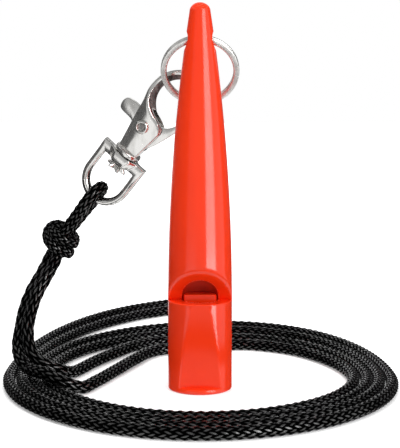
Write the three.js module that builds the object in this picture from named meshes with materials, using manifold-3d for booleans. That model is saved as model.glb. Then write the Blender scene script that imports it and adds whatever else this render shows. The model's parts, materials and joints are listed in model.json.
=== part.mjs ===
// Pealess dog whistle with a split ring, a swivel trigger hook and a braided neck lanyard.
// Millimetres, +Z up. The origin is the centre of the mouthpiece end, and the window faces -Y.

import * as THREE from 'three';
import { mergeVertices } from 'three/addons/utils/BufferGeometryUtils.js';
import Module from 'manifold-3d';

const wasm = await Module();
wasm.setup();

const DEGREE = Math.PI / 180;

// Gap between pieces that seat in or on each other
const CLEARANCE = 0.3;

// Whistle body
const WHISTLE_LENGTH = 85;
const FOOT_RADIUS = 7.1;
const FOOT_EDGE = 0.5;
const TIP_RADIUS = 2.3;
const TIP_DOME = 2;
const TAPER_START = 18;
const TAPER_POWER = 2.1;
const BORE_RADIUS = 4;
const BORE_DEPTH = 57;

// Window: a flat shelf, and a scoop that slopes up and out from the axis to the front
const SHELF_HEIGHT = 20;
const SCOOP_ANGLE = 45 * DEGREE;

// Beak: a sloped flat on the front, between the shelf and a lip at the mouthpiece end
const BEAK_CUT_AT_SHELF = 0.3;
const BEAK_CUT_AT_LIP = 1.8;
const LIP_HEIGHT = 1.2;

// Cross hole in the tip, with flared mouths
const HOLE_FROM_TIP = 8.1;
const HOLE_RADIUS = 1.7;
const HOLE_FLARE = 0.35;

// Fipple plug in the bore, with a flat front that leaves the windway open
const WINDWAY = 2.4;
const PLUG_RISE = 1.3;

// Split ring: two turns of flat wire
const RING_DIAMETER = 17.3;
const RING_WIRE_WIDTH = 1.3;
const RING_WIRE_THICKNESS = 0.65;
const RING_TURN_GAP = 0.5;
const RING_STEP_ANGLE = 16 * DEGREE;
const RING_STEP_AT = 300 * DEGREE;
const RING_LEAN = 31 * DEGREE;

// Trigger hook. Its own axes are x across, y along the swivel axis and z to the front;
// its origin is where the swivel axis leaves the top of the eye's bar.
const HOOK_TILT = 38 * DEGREE;
const HOOK_PITCH = 15 * DEGREE;
const HOOK_ROLL = 11 * DEGREE;
const CLAW_FROM_HOLE = new THREE.Vector3(-4.4, 7.8, -14.4);
const CLAW_ACROSS = 3;
const CLAW_ALONG = 17.2;
const CLAW_OUTER = 8.1;
const CLAW_BAND = 2.2;
const CLAW_NOSE_ANGLE = 28 * DEGREE;
const CLAW_ROOT_ANGLE = 205 * DEGREE;
const CLAW_ROOT_THICKNESS = 3.8;
const CLAW_SPINE_THICKNESS = 1.9;
const CLAW_NOSE_THICKNESS = 1.4;
const FLANGE_RADIUS = 3.2;
const FLANGE_THICKNESS = 1.1;
const BODY_FOOT_HALF = 2.5;
const SHOULDER_ACROSS = 3.7;
const SHOULDER_ALONG = 9.6;
const WAIST_ACROSS = -3.9;
const WAIST_ALONG = 9.7;
const SLOT_FLOOR = 3.7;
const SLOT_CEILING = 12.7;

// Gate lever: thumb tab, hub and gate arm
const LEVER_THICKNESS = 1.4;
const PIVOT_ACROSS = -0.56;
const PIVOT_ALONG = 8.1;
const RIVET_RADIUS = 1;
const RIVET_HEAD_RADIUS = 1.6;
const RIVET_HEAD_THICKNESS = 0.5;
const RIVET_HEAD_BEVEL = 0.3;
const RIVET_DIMPLE_RADIUS = 0.8;
const RIVET_DIMPLE_DEPTH = 0.3;
const TAB_REACH = 7.4;
const TAB_WIDTH = 3.6;
const TAB_CORNER = 1.2;
const TAB_RISE = 0.5;
const HUB_WALL = 1;
const ARM_WIDTH = 1.3;
const ARM_TIP_WIDTH = 0.6;
const ARM_FLARE = 18 * DEGREE;
const ARM_FOOT_ACROSS = 4.1;
const ARM_FOOT_DROP = 4;

// Gate spring under the thumb tab
const SPRING_WIRE = 0.35;
const SPRING_RADIUS = 0.5;
const SPRING_CURLS = 2;
const SPRING_STEPS = 8;
const SPRING_SIDES = 5;
const SPRING_PITCH = 0.85;
const SPRING_ACROSS = -2.3;

// Swivel eye and its rivet
const EYE_WIDTH = 12.1;
const EYE_LENGTH = 14;
const EYE_BAND = 1.8;
const EYE_THICKNESS = 2.2;
const EYE_STRAIGHT = 9;
const BAR_HEIGHT = 2.6;
const BARREL_RADIUS = 2.5;
const SWIVEL_RADIUS = 1.15;
const SWIVEL_HEAD_RADIUS = 2.3;
const SWIVEL_HEAD_THICKNESS = 1.3;
const SWIVEL_HEAD_BEVEL = 0.4;
const SWIVEL_DEPTH = 2.5;

// Braided cord
const CORD = 2.5;
const CORD_SIDES = 8;
const CORD_STEP = 2.5 * CORD;
const CORD_BEND_STEP = 0.8 * CORD;

// Lanyard loops on the floor: the doubled cord winds outwards round the whistle as a pair of
// strands, and ends in the bight that joins them
const LOOPS_CENTRE = new THREE.Vector2(1.3, 3);
const LOOPS_START = 0.2;
const LOOPS_END = 2.263;
const LOOP_STEPS = 24;
const LOOP_SIDES = 6;
const HALF_WIDTH = 31.5;
const HALF_WIDTH_PER_TURN = 6.05;
const FRONT_REACH = 29.7;
const FRONT_REACH_PER_TURN = 7.33;
const BACK_REACH = 35.2;
const BACK_REACH_PER_TURN = 5;
const BACK_REACH_PER_TURN_SQUARED = 9;
const PAIR_HALF_SPACING = 1.5;
const PAIR_SPREAD_FRONT = 0.36;
const PAIR_SPREAD_BACK = 3;
const BIGHT_STEPS = 8;

// The two strands from the knot down to the floor, where they turn in towards the loops
const DROP_FRONT = [
  [-35.03, 19.54, 27.4], [-36.5, 15.9, 22.96], [-38.3, 13.2, 18.9], [-39.3, 10.4, 14.95],
  [-39.6, 7.6, 11.4], [-39, 5.6, 8.4], [-37.3, 3.6, 5.9], [-34.5, 2.7, 4.25],
  [-31.2, 4.4, 2.6], [-28.7, 9.8, 1.3], [-24.9, 20.3, 1.27], [-20.2, 30.5, 1.27],
  [-16, 37.9, 1.27], [-13.06, 40.71, 1.27], [-10.65, 41.58, 1.27],
];
const DROP_REAR = [
  [-36.03, 22.32, 27.4], [-37.4, 18.8, 22.9], [-39.3, 16, 18.85], [-40.4, 13.2, 14.9],
  [-40.9, 10.4, 11.3], [-41.4, 7.7, 7.9], [-40.4, 3.3, 5.4], [-37.6, -1.2, 4.2],
  [-33.6, -5.8, 4.25], [-29.9, -7.6, 2.9], [-26.2, -6.1, 1.5], [-23.2, 0.2, 1.27],
  [-19.6, 10.5, 1.27], [-15.6, 22.3, 1.27], [-12.4, 30, 1.27], [-10.2, 32.79, 1.27],
  [-7.79, 33.66, 1.27],
];

// Cord on the eye, on the hook's axes: the loop over the D, the knot's wraps and the tails
const EYE_LOOP_RADIUS = 2.9;
const KNOT_ALONG = -26.8;
const KNOT_WRAP_RADIUS = 2.5;
const KNOT_WRAP_SPACING = 2.5;
const KNOT_WRAP_SLANT = 12 * DEGREE;
const KNOT_CROWN_RADIUS = 2.6;
const KNOT_CROWN_ACROSS = -0.9;
const TAILS = [
  [[1, -25.9, 1.2], [2.9, -24.9, 1.6], [4.7, -24.2, 1.3]],
  [[1, -27.8, 1.2], [3, -28.2, 1.4], [5.1, -28.4, 0.9]],
];

// Materials
const orangePlastic = new THREE.MeshStandardMaterial({ color: 0xfd4623, roughness: 0.25, metalness: 0 });
const nickel = new THREE.MeshStandardMaterial({ color: 0xd9d9d6, roughness: 0.18, metalness: 1 });
const springSteel = new THREE.MeshStandardMaterial({ color: 0xb5b7ba, roughness: 0.3, metalness: 1 });
const blackCord = new THREE.MeshStandardMaterial({ color: 0x1b1b1c, roughness: 0.75, metalness: 0 });

// Solids: closed geometries to join and cut

function solid(geometry) {
  const bare = geometry.index ? geometry.toNonIndexed() : geometry.clone();
  bare.deleteAttribute('normal');
  bare.deleteAttribute('uv');
  const merged = mergeVertices(bare, 1e-5);
  const mesh = new wasm.Mesh({
    numProp: 3,
    vertProperties: new Float32Array(merged.attributes.position.array),
    triVerts: new Uint32Array(merged.index.array),
  });
  return new wasm.Manifold(mesh);
}

function geometryOf(body) {
  const mesh = body.getMesh();
  const geometry = new THREE.BufferGeometry();
  geometry.setAttribute('position', new THREE.BufferAttribute(new Float32Array(mesh.vertProperties), 3));
  geometry.setIndex(new THREE.BufferAttribute(new Uint32Array(mesh.triVerts), 1));
  geometry.computeVertexNormals();
  return geometry;
}

function cut(geometry, ...tools) {
  let body = solid(geometry);
  for (const tool of tools) {
    body = body.subtract(solid(tool));
  }
  return geometryOf(body);
}

function join(...geometries) {
  let body = solid(geometries[0]);
  for (const geometry of geometries.slice(1)) {
    body = body.add(solid(geometry));
  }
  return geometryOf(body);
}

function polygon(points) {
  return new THREE.Shape(points.map(([x, y]) => new THREE.Vector2(x, y)));
}

// A flat outline in XY given a thickness that is centred on z = 0
function plate(shape, thickness, curveSegments = 12) {
  const geometry = new THREE.ExtrudeGeometry(shape, { depth: thickness, bevelEnabled: false, curveSegments });
  return geometry.translate(0, 0, -thickness / 2);
}

// A profile of [radius, height] turned about the Y axis
function turned(profile, segments) {
  return new THREE.LatheGeometry(profile.map(([r, h]) => new THREE.Vector2(r, h)), segments);
}

// A round rod along the Y axis, centred on the origin
function rod(radius, length, segments = 24) {
  return new THREE.CylinderGeometry(radius, radius, length, segments);
}

// Corners of a regular section, as [u, v] pairs
function regularSection(sides, radius, firstAngle = 0) {
  return Array.from({ length: sides }, (_, i) => {
    const angle = firstAngle + (2 * Math.PI * i) / sides;
    return [radius * Math.cos(angle), radius * Math.sin(angle)];
  });
}

// A tube along a smooth curve through points
function cordTube(points, step) {
  const extrudePath = new THREE.CatmullRomCurve3(points.map((p) => new THREE.Vector3(...p)), false, 'centripetal');
  const steps = Math.ceil(extrudePath.getLength() / step);
  const section = polygon(regularSection(CORD_SIDES, CORD / 2));
  return new THREE.ExtrudeGeometry(section, { steps, extrudePath, bevelEnabled: false });
}

// One section carried through points in order: its first coordinate is laid along each point's
// up direction and its second across the path, with a flat cap at both ends
function sweep(points, ups, section) {
  const count = section.length;
  const last = points.length - 1;
  const position = [];
  points.forEach((point, i) => {
    const tangent = points[Math.min(i + 1, last)].clone().sub(points[Math.max(i - 1, 0)]).normalize();
    const across = tangent.clone().cross(ups[i]).normalize();
    const up = across.clone().cross(tangent);
    for (const [u, v] of section) {
      position.push(...point.clone().addScaledVector(up, u).addScaledVector(across, v).toArray());
    }
  });
  const index = [];
  for (let i = 0; i < last; i += 1) {
    for (let j = 0; j < count; j += 1) {
      const a = i * count + j;
      const b = i * count + ((j + 1) % count);
      index.push(a, b, a + count, b, b + count, a + count);
    }
  }
  for (let j = 1; j < count - 1; j += 1) {
    index.push(0, j + 1, j);
    index.push(last * count, last * count + j, last * count + j + 1);
  }
  const geometry = new THREE.BufferGeometry();
  geometry.setAttribute('position', new THREE.Float32BufferAttribute(position, 3));
  geometry.setIndex(index);
  geometry.computeVertexNormals();
  return geometry;
}

// Least distance between stretches of one centre line that are further apart along it than `apart`
function leastSpacing(points, apart) {
  const along = [0];
  for (let i = 1; i < points.length; i += 1) {
    along.push(along[i - 1] + points[i].distanceTo(points[i - 1]));
  }
  let least = Infinity;
  for (let i = 0; i < points.length; i += 1) {
    for (let j = i + 1; j < points.length; j += 1) {
      if (along[j] - along[i] > apart) {
        least = Math.min(least, points[i].distanceTo(points[j]));
      }
    }
  }
  return least;
}

function piece(name, geometry, material, parent) {
  const mesh = new THREE.Mesh(geometry, material);
  mesh.name = name;
  parent.add(mesh);
}

// Whistle

const tipBase = WHISTLE_LENGTH - TIP_DOME;
const holeHeight = WHISTLE_LENGTH - HOLE_FROM_TIP;

function whistleRadius(height) {
  const share = THREE.MathUtils.clamp((height - TAPER_START) / (tipBase - TAPER_START), 0, 1);
  return FOOT_RADIUS - (FOOT_RADIUS - TIP_RADIUS) * share ** TAPER_POWER;
}

function whistleProfile() {
  const profile = [[0, 0]];
  for (const angle of [0, 30, 60, 90]) {
    const inset = FOOT_EDGE * (1 - Math.sin(angle * DEGREE));
    profile.push([FOOT_RADIUS - inset, FOOT_EDGE * (1 - Math.cos(angle * DEGREE))]);
  }
  profile.push([FOOT_RADIUS, TAPER_START]);
  const rows = 14;
  for (let row = 1; row <= rows; row += 1) {
    const height = TAPER_START + ((tipBase - TAPER_START) * row) / rows;
    profile.push([whistleRadius(height), height]);
  }
  for (const angle of [25, 50, 70]) {
    profile.push([TIP_RADIUS * Math.cos(angle * DEGREE), tipBase + TIP_DOME * Math.sin(angle * DEGREE)]);
  }
  profile.push([0, WHISTLE_LENGTH]);
  return profile;
}

// A side outline of [y, z] points given the width of the body along X
function crosswise(outline) {
  const width = 4 * FOOT_RADIUS;
  return plate(polygon(outline), width).rotateX(Math.PI / 2).rotateZ(Math.PI / 2);
}

function windowCut() {
  const reach = 2 * FOOT_RADIUS;
  const rise = reach * Math.tan(SCOOP_ANGLE);
  return crosswise([[-reach, SHELF_HEIGHT], [0, SHELF_HEIGHT], [-reach, SHELF_HEIGHT + rise]]);
}

function beakCut() {
  const reach = 2 * FOOT_RADIUS;
  const slope = (BEAK_CUT_AT_LIP - BEAK_CUT_AT_SHELF) / (SHELF_HEIGHT - LIP_HEIGHT);
  const over = 1;
  const top = SHELF_HEIGHT + over;
  return crosswise([
    [-reach, LIP_HEIGHT],
    [BEAK_CUT_AT_LIP - FOOT_RADIUS, LIP_HEIGHT],
    [BEAK_CUT_AT_SHELF - slope * over - FOOT_RADIUS, top],
    [-reach, top],
  ]);
}

function holeCut() {
  const half = whistleRadius(holeHeight);
  const over = 1;
  const mouth = HOLE_RADIUS + HOLE_FLARE;
  const profile = [
    [0, -half - over], [mouth + over, -half - over], [mouth, -half], [HOLE_RADIUS, -half + 2 * HOLE_FLARE],
    [HOLE_RADIUS, half - 2 * HOLE_FLARE], [mouth, half], [mouth + over, half + over], [0, half + over],
  ];
  return turned(profile, 24).rotateZ(Math.PI / 2).translate(0, 0, holeHeight);
}

function whistleBody() {
  const outside = turned(whistleProfile(), 56).rotateX(Math.PI / 2);
  const below = 1;
  const bore = new THREE.CylinderGeometry(BORE_RADIUS, BORE_RADIUS, BORE_DEPTH + below, 40);
  bore.rotateX(Math.PI / 2).translate(0, 0, (BORE_DEPTH - below) / 2);
  return cut(outside, bore, windowCut(), beakCut(), holeCut());
}

function fipplePlug() {
  const radius = BORE_RADIUS - CLEARANCE;
  const flat = Math.acos((BORE_RADIUS - WINDWAY) / radius);
  const shape = new THREE.Shape();
  shape.absarc(0, 0, radius, flat - Math.PI / 2, 1.5 * Math.PI - flat, false);
  shape.closePath();
  const height = SHELF_HEIGHT + PLUG_RISE;
  return new THREE.ExtrudeGeometry(shape, { depth: height, bevelEnabled: false, curveSegments: 36 });
}

// Split ring: a flat wire that keeps one side for a turn, steps across and goes round once more

const ringMean = (RING_DIAMETER - RING_WIRE_WIDTH) / 2;
const ringSagitta = ringMean - Math.sqrt(ringMean ** 2 - whistleRadius(holeHeight) ** 2);
const ringDrop = ringMean - ringSagitta / 2;

function splitRing() {
  const side = (RING_WIRE_THICKNESS + RING_TURN_GAP) / 2;
  const halfStep = RING_STEP_ANGLE / 2;
  const points = [];
  const ups = [];
  const add = (angle, offset) => {
    const up = new THREE.Vector3(Math.sin(angle), 0, Math.cos(angle));
    points.push(up.clone().multiplyScalar(ringMean).add(new THREE.Vector3(0, offset, -ringDrop)));
    ups.push(up);
  };
  const turn = 2 * Math.PI;
  const steps = 30;
  const start = RING_STEP_AT + halfStep;
  for (let i = 0; i <= steps; i += 1) {
    add(start + ((turn - RING_STEP_ANGLE) * i) / steps, -side);
  }
  add(RING_STEP_AT + turn, 0);
  for (let i = 0; i <= steps; i += 1) {
    add(start + turn + ((turn - RING_STEP_ANGLE) * i) / steps, side);
  }
  const radial = RING_WIRE_WIDTH / 2;
  const axial = RING_WIRE_THICKNESS / 2;
  const bevel = axial / 2;
  const section = [
    [radial, -axial + bevel], [radial, axial - bevel], [radial - bevel, axial], [bevel - radial, axial],
    [-radial, axial - bevel], [-radial, -axial + bevel], [bevel - radial, -axial], [radial - bevel, -axial],
  ];
  const gap = leastSpacing(points, ringMean) - RING_WIRE_THICKNESS;
  console.log(`split ring: least gap between turns ${gap.toFixed(2)} mm`);
  return sweep(points, ups, section);
}

// Trigger hook

const clawInner = CLAW_OUTER - CLAW_BAND;
const cheek = (CLAW_ROOT_THICKNESS - LEVER_THICKNESS) / 2 - CLEARANCE;
const slotThickness = CLAW_ROOT_THICKNESS - 2 * cheek;
const leverSeat = SLOT_FLOOR + 2 * CLEARANCE + SPRING_CURLS * SPRING_PITCH + 2 * SPRING_WIRE;

function hookAxes() {
  const along = new THREE.Vector3(
    Math.sin(HOOK_TILT) * Math.cos(HOOK_PITCH), -Math.sin(HOOK_PITCH), Math.cos(HOOK_TILT) * Math.cos(HOOK_PITCH));
  const level = new THREE.Vector3(Math.cos(HOOK_TILT), 0, -Math.sin(HOOK_TILT));
  const back = along.clone().cross(level);
  const across = level.multiplyScalar(Math.cos(HOOK_ROLL)).addScaledVector(back, -Math.sin(HOOK_ROLL));
  const front = across.clone().cross(along);
  return { across, along, front };
}

// Thickness of the claw by the angle round its centre: thick at the root, slim along the spine and at the nose
function clawThickness(angle) {
  const spineAngle = CLAW_ROOT_ANGLE - 30 * DEGREE;
  if (angle >= CLAW_ROOT_ANGLE) {
    return CLAW_ROOT_THICKNESS;
  }
  if (angle >= spineAngle) {
    const share = (angle - spineAngle) / (CLAW_ROOT_ANGLE - spineAngle);
    return THREE.MathUtils.lerp(CLAW_SPINE_THICKNESS, CLAW_ROOT_THICKNESS, share);
  }
  const share = (angle - CLAW_NOSE_ANGLE) / (spineAngle - CLAW_NOSE_ANGLE);
  return THREE.MathUtils.lerp(CLAW_NOSE_THICKNESS, CLAW_SPINE_THICKNESS, share);
}

function clawPoint(radius, angle) {
  return [CLAW_ACROSS + radius * Math.cos(angle), CLAW_ALONG + radius * Math.sin(angle)];
}

function hookOutline() {
  const foot = CLEARANCE + FLANGE_THICKNESS / 2;
  const outline = [[BODY_FOOT_HALF, foot], [SHOULDER_ACROSS, SHOULDER_ALONG]];
  const steps = 30;
  const crook = 272 * DEGREE;
  for (let i = 0; i <= steps; i += 1) {
    outline.push(clawPoint(clawInner, THREE.MathUtils.lerp(crook, CLAW_NOSE_ANGLE, i / steps)));
  }
  for (let i = 0; i <= steps; i += 1) {
    outline.push(clawPoint(CLAW_OUTER, THREE.MathUtils.lerp(CLAW_NOSE_ANGLE, CLAW_ROOT_ANGLE, i / steps)));
  }
  outline.push([WAIST_ACROSS, WAIST_ALONG], [-BODY_FOOT_HALF, foot]);
  return polygon(outline);
}

function hookBody() {
  const casting = plate(hookOutline(), CLAW_ROOT_THICKNESS);
  const position = casting.attributes.position;
  for (let i = 0; i < position.count; i += 1) {
    const x = position.getX(i) - CLAW_ACROSS;
    const y = position.getY(i) - CLAW_ALONG;
    const angle = Math.atan2(y, x);
    const turn = angle < 0 ? angle + 2 * Math.PI : angle;
    const share = clawThickness(turn) / CLAW_ROOT_THICKNESS;
    position.setZ(i, position.getZ(i) * share);
  }
  const flange = new THREE.CylinderGeometry(FLANGE_RADIUS, FLANGE_RADIUS, FLANGE_THICKNESS, 32);
  flange.translate(0, CLEARANCE + FLANGE_THICKNESS / 2, 0);
  const wide = 2 * CLAW_OUTER;
  const slot = plate(polygon([
    [-wide, SLOT_FLOOR], [wide, SLOT_FLOOR], [wide, CLAW_ALONG], [CLAW_ACROSS - clawInner / 2, CLAW_ALONG],
    [CLAW_ACROSS - clawInner, SLOT_CEILING], [-wide, SLOT_CEILING],
  ]), slotThickness);
  const pivot = rod(RIVET_RADIUS + CLEARANCE, 2 * CLAW_ROOT_THICKNESS).rotateX(Math.PI / 2);
  pivot.translate(PIVOT_ACROSS, PIVOT_ALONG, 0);
  const socket = rod(SWIVEL_RADIUS + CLEARANCE, 2 * (SWIVEL_DEPTH + CLEARANCE));
  return cut(join(casting, flange), slot, pivot, socket);
}

// The lever's outline, about the pivot
function leverOutline() {
  const hub = RIVET_RADIUS + CLEARANCE + HUB_WALL;
  const seat = leverSeat - PIVOT_ALONG;
  const springLeft = SPRING_ACROSS - SPRING_RADIUS - SPRING_WIRE - PIVOT_ACROSS;
  const springRight = SPRING_ACROSS + SPRING_RADIUS + SPRING_WIRE - PIVOT_ACROSS;
  const tabTop = TAB_WIDTH - hub + TAB_RISE;
  const tabFoot = tabTop - TAB_WIDTH;
  const reach = clawInner - 1.5 * CLEARANCE;
  const slope = new THREE.Vector2(Math.sin(ARM_FLARE), Math.cos(ARM_FLARE));
  const foot = new THREE.Vector2(ARM_FOOT_ACROSS, -ARM_FOOT_DROP);
  const centre = new THREE.Vector2(CLAW_ACROSS - PIVOT_ACROSS, CLAW_ALONG - PIVOT_ALONG);
  const toFoot = foot.clone().sub(centre);
  const middle = toFoot.dot(slope);
  const armLength = -middle + Math.sqrt(middle ** 2 - toFoot.lengthSq() + reach ** 2);
  const tip = foot.clone().addScaledVector(slope, armLength);
  const inward = new THREE.Vector2(-slope.y, slope.x);
  const inner = tip.clone().addScaledVector(inward, ARM_TIP_WIDTH);
  const elbow = foot.clone().addScaledVector(slope, armLength / 2).addScaledVector(inward, ARM_WIDTH);
  return polygon([
    [foot.x, foot.y], [tip.x, tip.y], [inner.x, inner.y], [elbow.x, elbow.y],
    [hub + HUB_WALL, hub], [0, hub], [springLeft, tabTop],
    [TAB_CORNER - TAB_REACH, tabTop], [-TAB_REACH, tabTop - TAB_CORNER],
    [-TAB_REACH, tabFoot + TAB_CORNER], [TAB_CORNER - TAB_REACH, tabFoot],
    [springLeft - CLEARANCE, tabFoot], [springLeft, seat], [springRight, seat], [springRight + CLEARANCE, -hub],
    [hub, -ARM_FOOT_DROP + CLEARANCE],
  ]);
}

function gateLever() {
  const hole = rod(RIVET_RADIUS + CLEARANCE, 2 * LEVER_THICKNESS).rotateX(Math.PI / 2);
  const lever = cut(plate(leverOutline(), LEVER_THICKNESS), hole);
  return lever.translate(PIVOT_ACROSS, PIVOT_ALONG, 0);
}

function gateRivet() {
  const seat = CLAW_ROOT_THICKNESS / 2 + CLEARANCE;
  const top = seat + RIVET_HEAD_THICKNESS;
  const edge = top - RIVET_HEAD_BEVEL;
  const crown = RIVET_HEAD_RADIUS - RIVET_HEAD_BEVEL;
  const dimple = top - RIVET_DIMPLE_DEPTH;
  const profile = [
    [0, -top], [crown, -top], [RIVET_HEAD_RADIUS, -edge], [RIVET_HEAD_RADIUS, -seat],
    [RIVET_RADIUS, -seat], [RIVET_RADIUS, seat], [RIVET_HEAD_RADIUS, seat], [RIVET_HEAD_RADIUS, edge],
    [crown, top], [RIVET_DIMPLE_RADIUS, top], [RIVET_DIMPLE_RADIUS / 2, dimple], [0, dimple],
  ];
  return turned(profile, 24).rotateX(Math.PI / 2).translate(PIVOT_ACROSS, PIVOT_ALONG, 0);
}

function gateSpring() {
  const steps = SPRING_STEPS * SPRING_CURLS;
  const foot = SLOT_FLOOR + CLEARANCE;
  const points = [];
  const ups = [];
  const add = (angle, height) => {
    const up = new THREE.Vector3(Math.cos(angle), 0, Math.sin(angle));
    points.push(up.clone().multiplyScalar(SPRING_RADIUS).add(new THREE.Vector3(SPRING_ACROSS, height, 0)));
    ups.push(up);
  };
  add(0, foot);
  for (let i = 0; i <= steps; i += 1) {
    add((2 * Math.PI * i) / SPRING_STEPS, foot + SPRING_WIRE + (SPRING_PITCH * i) / SPRING_STEPS);
  }
  add(0, foot + 2 * SPRING_WIRE + SPRING_PITCH * SPRING_CURLS);
  const gap = leastSpacing(points, 3 * SPRING_RADIUS) - SPRING_WIRE;
  console.log(`gate spring: least gap between curls ${gap.toFixed(2)} mm`);
  return sweep(points, ups, regularSection(SPRING_SIDES, SPRING_WIRE / 2));
}

// Swivel

function eyeOutline(half, top, length) {
  const outline = [[half, top]];
  const steps = 20;
  for (let i = 0; i <= steps; i += 1) {
    const angle = (-Math.PI * i) / steps;
    outline.push([half * Math.cos(angle), -EYE_STRAIGHT + (length - EYE_STRAIGHT) * Math.sin(angle)]);
  }
  outline.push([-half, top]);
  return outline;
}

function swivelEye() {
  const frame = plate(polygon(eyeOutline(EYE_WIDTH / 2, 0, EYE_LENGTH)), EYE_THICKNESS);
  const opening = eyeOutline(EYE_WIDTH / 2 - EYE_BAND, -BAR_HEIGHT, EYE_LENGTH - EYE_BAND);
  const inside = plate(polygon(opening), 2 * EYE_THICKNESS);
  const barrel = rod(BARREL_RADIUS, BAR_HEIGHT, 32).translate(0, -BAR_HEIGHT / 2, 0);
  const hole = rod(SWIVEL_RADIUS + CLEARANCE, 4 * BAR_HEIGHT);
  return cut(join(cut(frame, inside), barrel), hole);
}

function swivelRivet() {
  const seat = -BAR_HEIGHT - CLEARANCE;
  const foot = seat - SWIVEL_HEAD_THICKNESS;
  const bevel = SWIVEL_HEAD_BEVEL;
  const profile = [
    [0, foot], [SWIVEL_HEAD_RADIUS - bevel, foot], [SWIVEL_HEAD_RADIUS, foot + bevel],
    [SWIVEL_HEAD_RADIUS, seat - bevel], [SWIVEL_RADIUS + bevel, seat], [SWIVEL_RADIUS, seat],
    [SWIVEL_RADIUS, SWIVEL_DEPTH], [0, SWIVEL_DEPTH],
  ];
  return turned(profile, 24);
}

// Lanyard

function pairCentre(turn) {
  const angle = Math.PI * (1 - 2 * turn);
  const half = HALF_WIDTH + HALF_WIDTH_PER_TURN * turn;
  const front = FRONT_REACH + FRONT_REACH_PER_TURN * turn;
  const back = BACK_REACH + BACK_REACH_PER_TURN * turn + BACK_REACH_PER_TURN_SQUARED * turn ** 2;
  const reach = Math.sin(angle) > 0 ? back : front;
  return new THREE.Vector2(LOOPS_CENTRE.x + half * Math.cos(angle), LOOPS_CENTRE.y + reach * Math.sin(angle));
}

function pairHalfSpacing(turn) {
  const sine = Math.sin(Math.PI * (1 - 2 * turn));
  return PAIR_HALF_SPACING + PAIR_SPREAD_FRONT * Math.max(0, -sine) + PAIR_SPREAD_BACK * Math.max(0, sine) ** 2;
}

// The loops' centre line: out along the inner strand, round the bight and back along the outer strand
function loopsPath() {
  const floor = (CORD / 2) * Math.cos(Math.PI / LOOP_SIDES);
  const small = 1e-4;
  const offset = (turn, distance) => {
    const heading = pairCentre(turn + small).sub(pairCentre(turn - small)).normalize();
    const centre = pairCentre(turn);
    return new THREE.Vector3(centre.x - heading.y * distance, centre.y + heading.x * distance, floor);
  };
  const steps = Math.round((LOOPS_END - LOOPS_START) * LOOP_STEPS);
  const turns = Array.from({ length: steps + 1 }, (_, i) => LOOPS_START + ((LOOPS_END - LOOPS_START) * i) / steps);
  const inner = turns.map((turn) => offset(turn, -pairHalfSpacing(turn)));
  const outer = turns.map((turn) => offset(turn, pairHalfSpacing(turn)));
  const radius = pairHalfSpacing(LOOPS_END);
  const end = pairCentre(LOOPS_END);
  const heading = end.clone().sub(pairCentre(LOOPS_END - small)).normalize();
  const bight = [];
  for (let i = 1; i < BIGHT_STEPS; i += 1) {
    const angle = -Math.PI / 2 + (Math.PI * i) / BIGHT_STEPS;
    const ahead = radius * Math.cos(angle);
    const aside = radius * Math.sin(angle);
    bight.push(new THREE.Vector3(
      end.x + heading.x * ahead - heading.y * aside, end.y + heading.y * ahead + heading.x * aside, floor));
  }
  return [...inner, ...bight, ...outer.reverse()];
}

function lanyardLoops() {
  const path = loopsPath();
  const ups = path.map(() => new THREE.Vector3(0, 0, 1));
  const section = regularSection(LOOP_SIDES, CORD / 2, Math.PI / LOOP_SIDES);
  const fine = new THREE.CatmullRomCurve3(path, false, 'centripetal').getSpacedPoints(900);
  const gap = leastSpacing(fine, 4 * CORD) - CORD;
  console.log(`lanyard loops: least gap between strands ${gap.toFixed(2)} mm`);
  return sweep(path, ups, section);
}

function eyeLoop() {
  const crown = -EYE_LENGTH + EYE_BAND / 2;
  const foot = KNOT_ALONG + KNOT_CROWN_RADIUS + CORD / 2 + CLEARANCE;
  const half = CORD / 2 + CLEARANCE;
  const front = [[0, foot, half], [0, (foot + crown) / 2, (half + EYE_LOOP_RADIUS) / 2]];
  const over = [0, 30, 60, 90, 120, 150, 180].map((angle) => [
    0, crown + EYE_LOOP_RADIUS * Math.sin(angle * DEGREE), EYE_LOOP_RADIUS * Math.cos(angle * DEGREE)]);
  const rear = front.map(([x, y, z]) => [x, y, -z]).reverse();
  return cordTube([...front, ...over, ...rear], CORD_BEND_STEP);
}

function knot() {
  const wrap = (along, slant) => new THREE.TorusGeometry(KNOT_WRAP_RADIUS, CORD / 2, 8, 20)
    .rotateX(Math.PI / 2).rotateZ(slant).translate(0, along, 0);
  const upper = wrap(KNOT_ALONG + KNOT_WRAP_SPACING / 2, KNOT_WRAP_SLANT);
  const lower = wrap(KNOT_ALONG - KNOT_WRAP_SPACING / 2, -KNOT_WRAP_SLANT);
  const crown = new THREE.TorusGeometry(KNOT_CROWN_RADIUS, CORD / 2, 8, 20);
  crown.translate(KNOT_CROWN_ACROSS, KNOT_ALONG, 0);
  const core = new THREE.SphereGeometry(KNOT_WRAP_RADIUS, 16, 12).translate(0, KNOT_ALONG, 0);
  return join(core, upper, lower, crown, ...TAILS.map((tail) => cordTube(tail, CORD_BEND_STEP)));
}

// Assembly

const whistle = new THREE.Group();
piece('whistle_body', whistleBody(), orangePlastic, whistle);
piece('fipple_plug', fipplePlug(), orangePlastic, whistle);

const ring = new THREE.Group();
ring.position.set(0, 0, holeHeight);
ring.rotation.x = RING_LEAN;
whistle.add(ring);
piece('split_ring', splitRing(), nickel, ring);

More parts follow.
